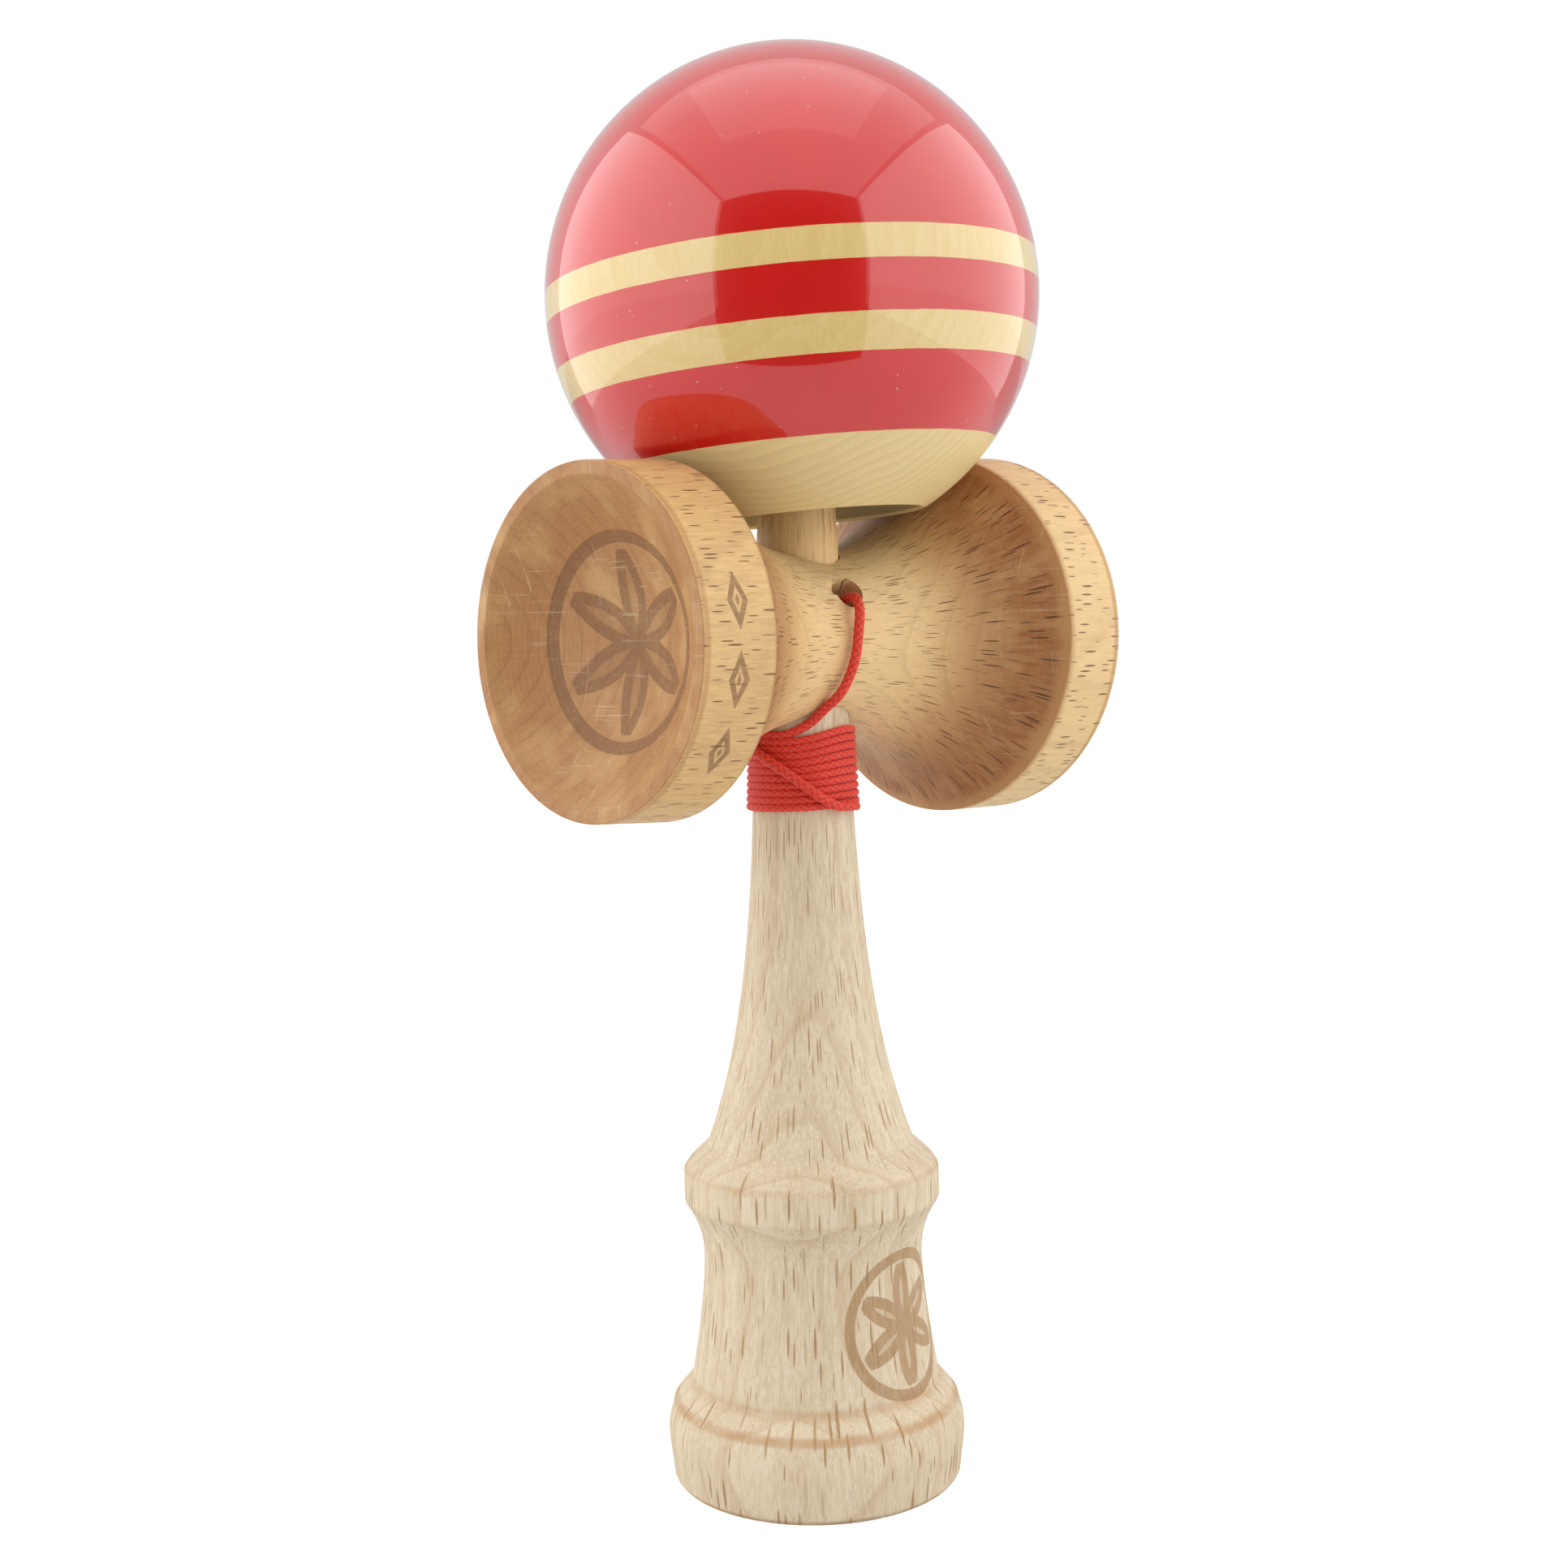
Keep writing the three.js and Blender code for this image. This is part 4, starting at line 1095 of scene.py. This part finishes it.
class KENDAMA_OT_stage(Operator):
    """Camera, pale floor and soft lights"""
    bl_idname = "kendama.stage"
    bl_label = "Stage"

    def execute(self, context):
        self.studio = settings().studio
        self.make_camera(context.scene)
        self.make_floor()
        self.make_lights(context.scene)
        context.scene.view_settings.view_transform = "Standard"
        return {"FINISHED"}

    def make_camera(self, scene):
        studio = self.studio
        camera = bpy.data.objects.new("camera", bpy.data.cameras.new("camera"))
        scene.collection.objects.link(camera)
        camera.data.lens = studio.lens
        camera.data.clip_start = 0.01
        place = Vector((math.sin(studio.azimuth), -math.cos(studio.azimuth), 0)) * studio.distance
        place.z = studio.height
        heading = math.pi / 2 + studio.azimuth - studio.pan
        level = Vector((math.sin(heading), -math.cos(heading), 0))
        ahead = Vector((math.cos(heading), math.sin(heading), 0)) * math.cos(studio.tilt)
        ahead.z = math.sin(studio.tilt)
        upright = level.cross(ahead)
        right = level * math.cos(studio.roll) + upright * math.sin(studio.roll)
        frame_up = upright * math.cos(studio.roll) - level * math.sin(studio.roll)
        turn = Matrix((right, frame_up, -ahead)).transposed()
        camera.matrix_world = Matrix.Translation(place) @ turn.to_4x4()
        scene.camera = camera

    def make_floor(self):
        mesh = bpy.data.meshes.new("floor")
        reach = 4.0
        mesh.from_pydata([(-reach, -reach, 0), (reach, -reach, 0), (reach, reach, 0), (-reach, reach, 0)],
                         [], [(0, 1, 2, 3)])
        floor = bpy.data.objects.new("floor", mesh)
        bpy.context.scene.collection.objects.link(floor)
        material, shader, n, point, _ = new_material("floor")
        cloud = n.scaled(n.noise(point, 0.004, 2.0), 0.02, 0.72)
        n.give(shader.inputs["Base Color"], n.add("CombineColor", cloud, cloud, cloud))
        shader.inputs["Roughness"].default_value = 0.7
        shader.inputs["Emission Color"].default_value = (1, 1, 1, 1)
        seen = n.add("LightPath").outputs["Is Camera Ray"]
        n.give(shader.inputs["Emission Strength"], n.times(seen, self.studio.floor_lift))
        mesh.materials.append(material)

    def frame_about_ball(self):
        """Right, up and towards the camera, about the ball's centre."""
        a = self.studio.azimuth
        right = Vector((math.cos(a), math.sin(a), 0))
        nearer = Vector((math.sin(a), -math.cos(a), 0))
        return right, UP, nearer

    def place(self, thing, centre, facing, upward):
        """Puts a panel's middle at (right, up, nearer) metres from the ball, with its -Z along facing."""
        axes = self.frame_about_ball()
        spot = BALL_CENTRE * MM + sum((axis * amount for axis, amount in zip(axes, centre)), Vector())
        back = -sum((axis * amount for axis, amount in zip(axes, facing)), Vector()).normalized()
        top = sum((axis * amount for axis, amount in zip(axes, upward)), Vector())
        side = top.cross(back).normalized()
        turn = Matrix((side, back.cross(side), back)).transposed()
        thing.matrix_world = Matrix.Translation(spot) @ turn.to_4x4()

    def panel(self, name, centre, facing, upward, width, height, radiance):
        light = bpy.data.lights.new(name, "AREA")
        light.shape, light.size, light.size_y = "RECTANGLE", width, height
        light.energy = radiance * math.pi * width * height
        thing = bpy.data.objects.new(name, light)
        bpy.context.scene.collection.objects.link(thing)
        thing.visible_camera = False
        self.place(thing, centre, facing, upward)

    def card(self, name, centre, facing, upward, widths, height):
        """A dark card that only reflections see, with its lower and upper widths."""
        mesh = bpy.data.meshes.new(name)
        low, high, h = widths[0] / 2, widths[1] / 2, height / 2
        mesh.from_pydata([(-low, -h, 0), (low, -h, 0), (high, h, 0), (-high, h, 0)], [], [(0, 1, 2, 3)])
        thing = bpy.data.objects.new(name, mesh)
        bpy.context.scene.collection.objects.link(thing)
        material, shader, *_ = new_material(name)
        shader.inputs["Base Color"].default_value = (0.004, 0.004, 0.004, 1)
        shader.inputs["Roughness"].default_value = 1.0
        mesh.materials.append(material)
        for ray in ("camera", "diffuse", "transmission", "shadow", "volume_scatter"):
            setattr(thing, f"visible_{ray}", False)
        self.place(thing, centre, facing, upward)

    def make_lights(self, scene):
        studio = self.studio
        world = bpy.data.worlds.new("surroundings")
        world.use_nodes = True
        n = Nodes(world.node_tree)
        backdrop = world.node_tree.nodes["Background"]
        backdrop.inputs["Color"].default_value = (1.0, 1.0, 1.0, 1)
        rays = n.add("LightPath").outputs
        given = n.between(rays["Is Glossy Ray"], studio.fill, studio.sheen_fill)
        seen = n.scaled(rays["Is Camera Ray"], studio.backdrop, given)
        n.give(backdrop.inputs["Strength"], n.math("MINIMUM", seen, studio.backdrop))
        scene.world = world
        self.panel("top_panel", (0, 0.50, 0.18), (0, -1, 0), (0, 0, 1), 0.78, 0.90, studio.top_box)
        self.panel("overhead_lamp", (0, 0.49, -0.01), (0, -1, 0), (0, 0, 1), 0.44, 0.42, studio.lamp)
        self.panel("left_panel", (-0.40, 0.16, 0.12), (1, 0, 0), (0, 1, 0), 0.94, 0.64, studio.left_box)
        self.panel("right_panel", (0.40, 0.16, 0.12), (-1, 0, 0), (0, 1, 0), 0.94, 0.64, studio.right_box)
        self.card("dark_end", (0, 0.205, 0.70), (0, 0, -1), (0, 1, 0), (0.90, 0.90), 0.70)
        drop = 0.001 - BALL_CENTRE.z * MM
        self.card("dark_floor", (0, drop, 0.46), (0, 1, 0), (0, 0, 1), (0.26, 1.0), 0.52)


class KENDAMA_OT_bead_and_knots(Operator):
    """The bead in the ball and the two knots of the string"""
    bl_idname = "kendama.bead_and_knots"
    bl_label = "Bead and knots"

    def execute(self, context):
        finish, string, cross = settings().finish, settings().string, settings().cross
        low, high = extent("bead")
        radius = (high.x - low.x) / 2
        bore = string.diameter / 2 + 0.1
        outer = math.acos(bore / radius)
        skin = [(radius * math.cos(a), radius * math.sin(a)) for a in np.linspace(-outer, outer, 48)]
        outline = rounded([*skin, *line(skin[-1], skin[0], 0.4)[1:], skin[0]], 0.25)
        mesh = lathe("bead", outline, 72, closed=True)
        smooth_with_edges(mesh)
        bead = piece("bead_turned", mesh, bead_wood(finish), None, "bead")
        bead.matrix_world = Matrix.Translation((low + high) / 2 * MM) @ turn_to(BALL_AXIS)
        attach(bead, "string_end")
        braid = braided_string(finish)
        for name, node, body, axis in (("stopper_knot_tied", "stopper_knot", "string_end", BALL_AXIS),
                                       ("anchor_knot_tied", "anchor_knot", "handle", hole_axis(cross))):
            low, high = extent(node)
            mesh = knot_mesh(name, (low + high) / 2, axis, string)
            piece(name, mesh, braid, body, node)
        return {"FINISHED"}


class KENDAMA_OT_string(Operator):
    """The braided string, from its knot in the handle to its knot in the ball"""
    bl_idname = "kendama.string"
    bl_label = "String"

    def execute(self, context):
        string, handle = settings().string, settings().handle
        points, (wound_from, wound_to) = string_route(string, handle)
        spacing = float(np.linalg.norm(np.diff(points, axis=0), axis=1).mean())
        at = np.arange(len(points)) * spacing
        first, last = (int(reach / spacing) for reach in (wound_from, wound_to))
        outward, sideways = carried_frames(points, first, last)
        pressed = smoothstep(at, wound_from - 5, wound_from + 1) * smoothstep(at, wound_to + 3, wound_to - 3)
        width = (string.diameter + (string.pressed_width - string.diameter) * pressed) / 2
        depth = (string.diameter + (string.pressed_depth - string.diameter) * pressed) / 2
        mesh = braided_tube("string", points, outward, sideways, width, depth, string, spacing)
        thing = piece("string", mesh, bpy.data.materials["braided_string"], None,
                      ("string_lead", "string_winding", "string_riser", "string_over"))
        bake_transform(thing)
        return {"FINISHED"}


class KENDAMA_OT_handle(Operator):
    """The turned handle, with its base cup, collar and spike"""
    bl_idname = "kendama.handle"
    bl_label = "Handle"

    def execute(self, context):
        handle, cross = settings().handle, settings().cross
        mesh = lathe("handle", handle_outline(handle), handle.segments)
        axis = hole_axis(cross)
        middle, through_wood = (0, 0, CROSS_HEIGHT), 9
        floor = -handle.pocket_floor
        hole = drill(handle.string_hole, handle.string_hole, floor - 0.1, through_wood, middle, axis, 32)
        pocket = drill(handle.knot_pocket, handle.knot_pocket, -through_wood, floor, middle, axis, 32)
        mesh = cut(mesh, [hole, pocket])
        smooth_with_edges(mesh)
        material = pale_beech(settings().finish, handle, settings().marks)
        piece("handle_turned", mesh, material, "handle", "ken")
        return {"FINISHED"}


class KENDAMA_OT_cross_piece(Operator):
    """The cross-piece with the big and the small cup"""
    bl_idname = "kendama.cross_piece"
    bl_label = "Cross-piece"

    def execute(self, context):
        handle, cross = settings().handle, settings().cross
        mesh = lathe("cross_piece", cross_outline(cross), handle.segments)
        mesh.transform(Matrix.Rotation(math.pi / 2, 4, "Y"))
        neck = grip_radius(CROSS_HEIGHT - cross.waist, handle) + cross.bore_gap
        shoulder = handle.shoulder_drop
        origin = (0, 0, 0)
        bores = [drill(neck, neck, -14, -shoulder + 0.2, origin, UP, 96),
                 drill(handle.tenon_radius + cross.bore_gap, handle.tenon_radius + cross.bore_gap - 0.1,
                       -shoulder, 14, origin, UP, 96)]
        axis = hole_axis(cross)
        bores.append(drill(cross.hole_radius, cross.hole_radius, 2, 14, origin, axis))
        bores.append(drill(cross.hole_radius, cross.hole_flare, 9.4, 11.4, (-0.2, 0, 0), axis))
        chip = lathe("chip", [(math.sin(a), -math.cos(a)) for a in np.linspace(0, math.pi, 17)], 24)
        chip.transform(Matrix.Translation(Vector((-1.8, -8.6, 6.1)) * MM)
                       @ Matrix.Rotation(-cross.hole_rise, 4, "X") @ Matrix.Diagonal((2.1, 0.9, 1.2, 1)))
        bores.append(chip)
        mesh = cut(mesh, bores)
        smooth_with_edges(mesh)
        material = warm_beech(settings().finish, cross, settings().marks)
        thing = piece("cross_piece_turned", mesh, material, None, "sarado")
        thing.location = (0, 0, CROSS_HEIGHT * MM)
        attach(thing, "handle")
        return {"FINISHED"}


class KENDAMA_OT_ball(Operator):
    """The lacquered ball with its two holes"""
    bl_idname = "kendama.ball"
    bl_label = "Ball"

    def execute(self, context):
        ball = settings().ball
        mesh = lathe("ball", ball_outline(ball), settings().handle.segments, closed=True)
        smooth_with_edges(mesh)
        material = ball_lacquer(settings().finish, ball)
        thing = piece("ball_turned", mesh, material, None, "tama")
        thing.matrix_world = Matrix.Translation(BALL_CENTRE * MM) @ turn_to(BALL_AXIS)
        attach(thing, "ball")
        return {"FINISHED"}


class KENDAMA_PT_pieces(Panel):
    """Lists the kendama's pieces"""
    bl_idname = "KENDAMA_PT_pieces"
    bl_label = "Kendama"
    bl_space_type = "VIEW_3D"
    bl_region_type = "UI"
    bl_category = "Kendama"

    def draw(self, context):
        for maker in MAKERS:
            self.layout.operator(maker.bl_idname, text=maker.bl_label)


SETTING_GROUPS = (HandleSizes, CrossSizes, BallSizes, StringSizes, Marks, Finishes, Studio, KendamaSettings)
MAKERS = (KENDAMA_OT_stage, KENDAMA_OT_bead_and_knots, KENDAMA_OT_string, KENDAMA_OT_handle,
          KENDAMA_OT_cross_piece, KENDAMA_OT_ball)


def register():
    for group_class in (*SETTING_GROUPS, *MAKERS, KENDAMA_PT_pieces):
        bpy.utils.register_class(group_class)
    bpy.types.Scene.kendama = PointerProperty(type=KendamaSettings)


def unregister():
    del bpy.types.Scene.kendama
    for group_class in reversed((*SETTING_GROUPS, *MAKERS, KENDAMA_PT_pieces)):
        bpy.utils.unregister_class(group_class)


def main():
    """Makes every piece in order."""
    register()
    for maker in MAKERS:
        family, action = maker.bl_idname.split(".")
        getattr(getattr(bpy.ops, family), action)()


if __name__ == "__main__":
    main()
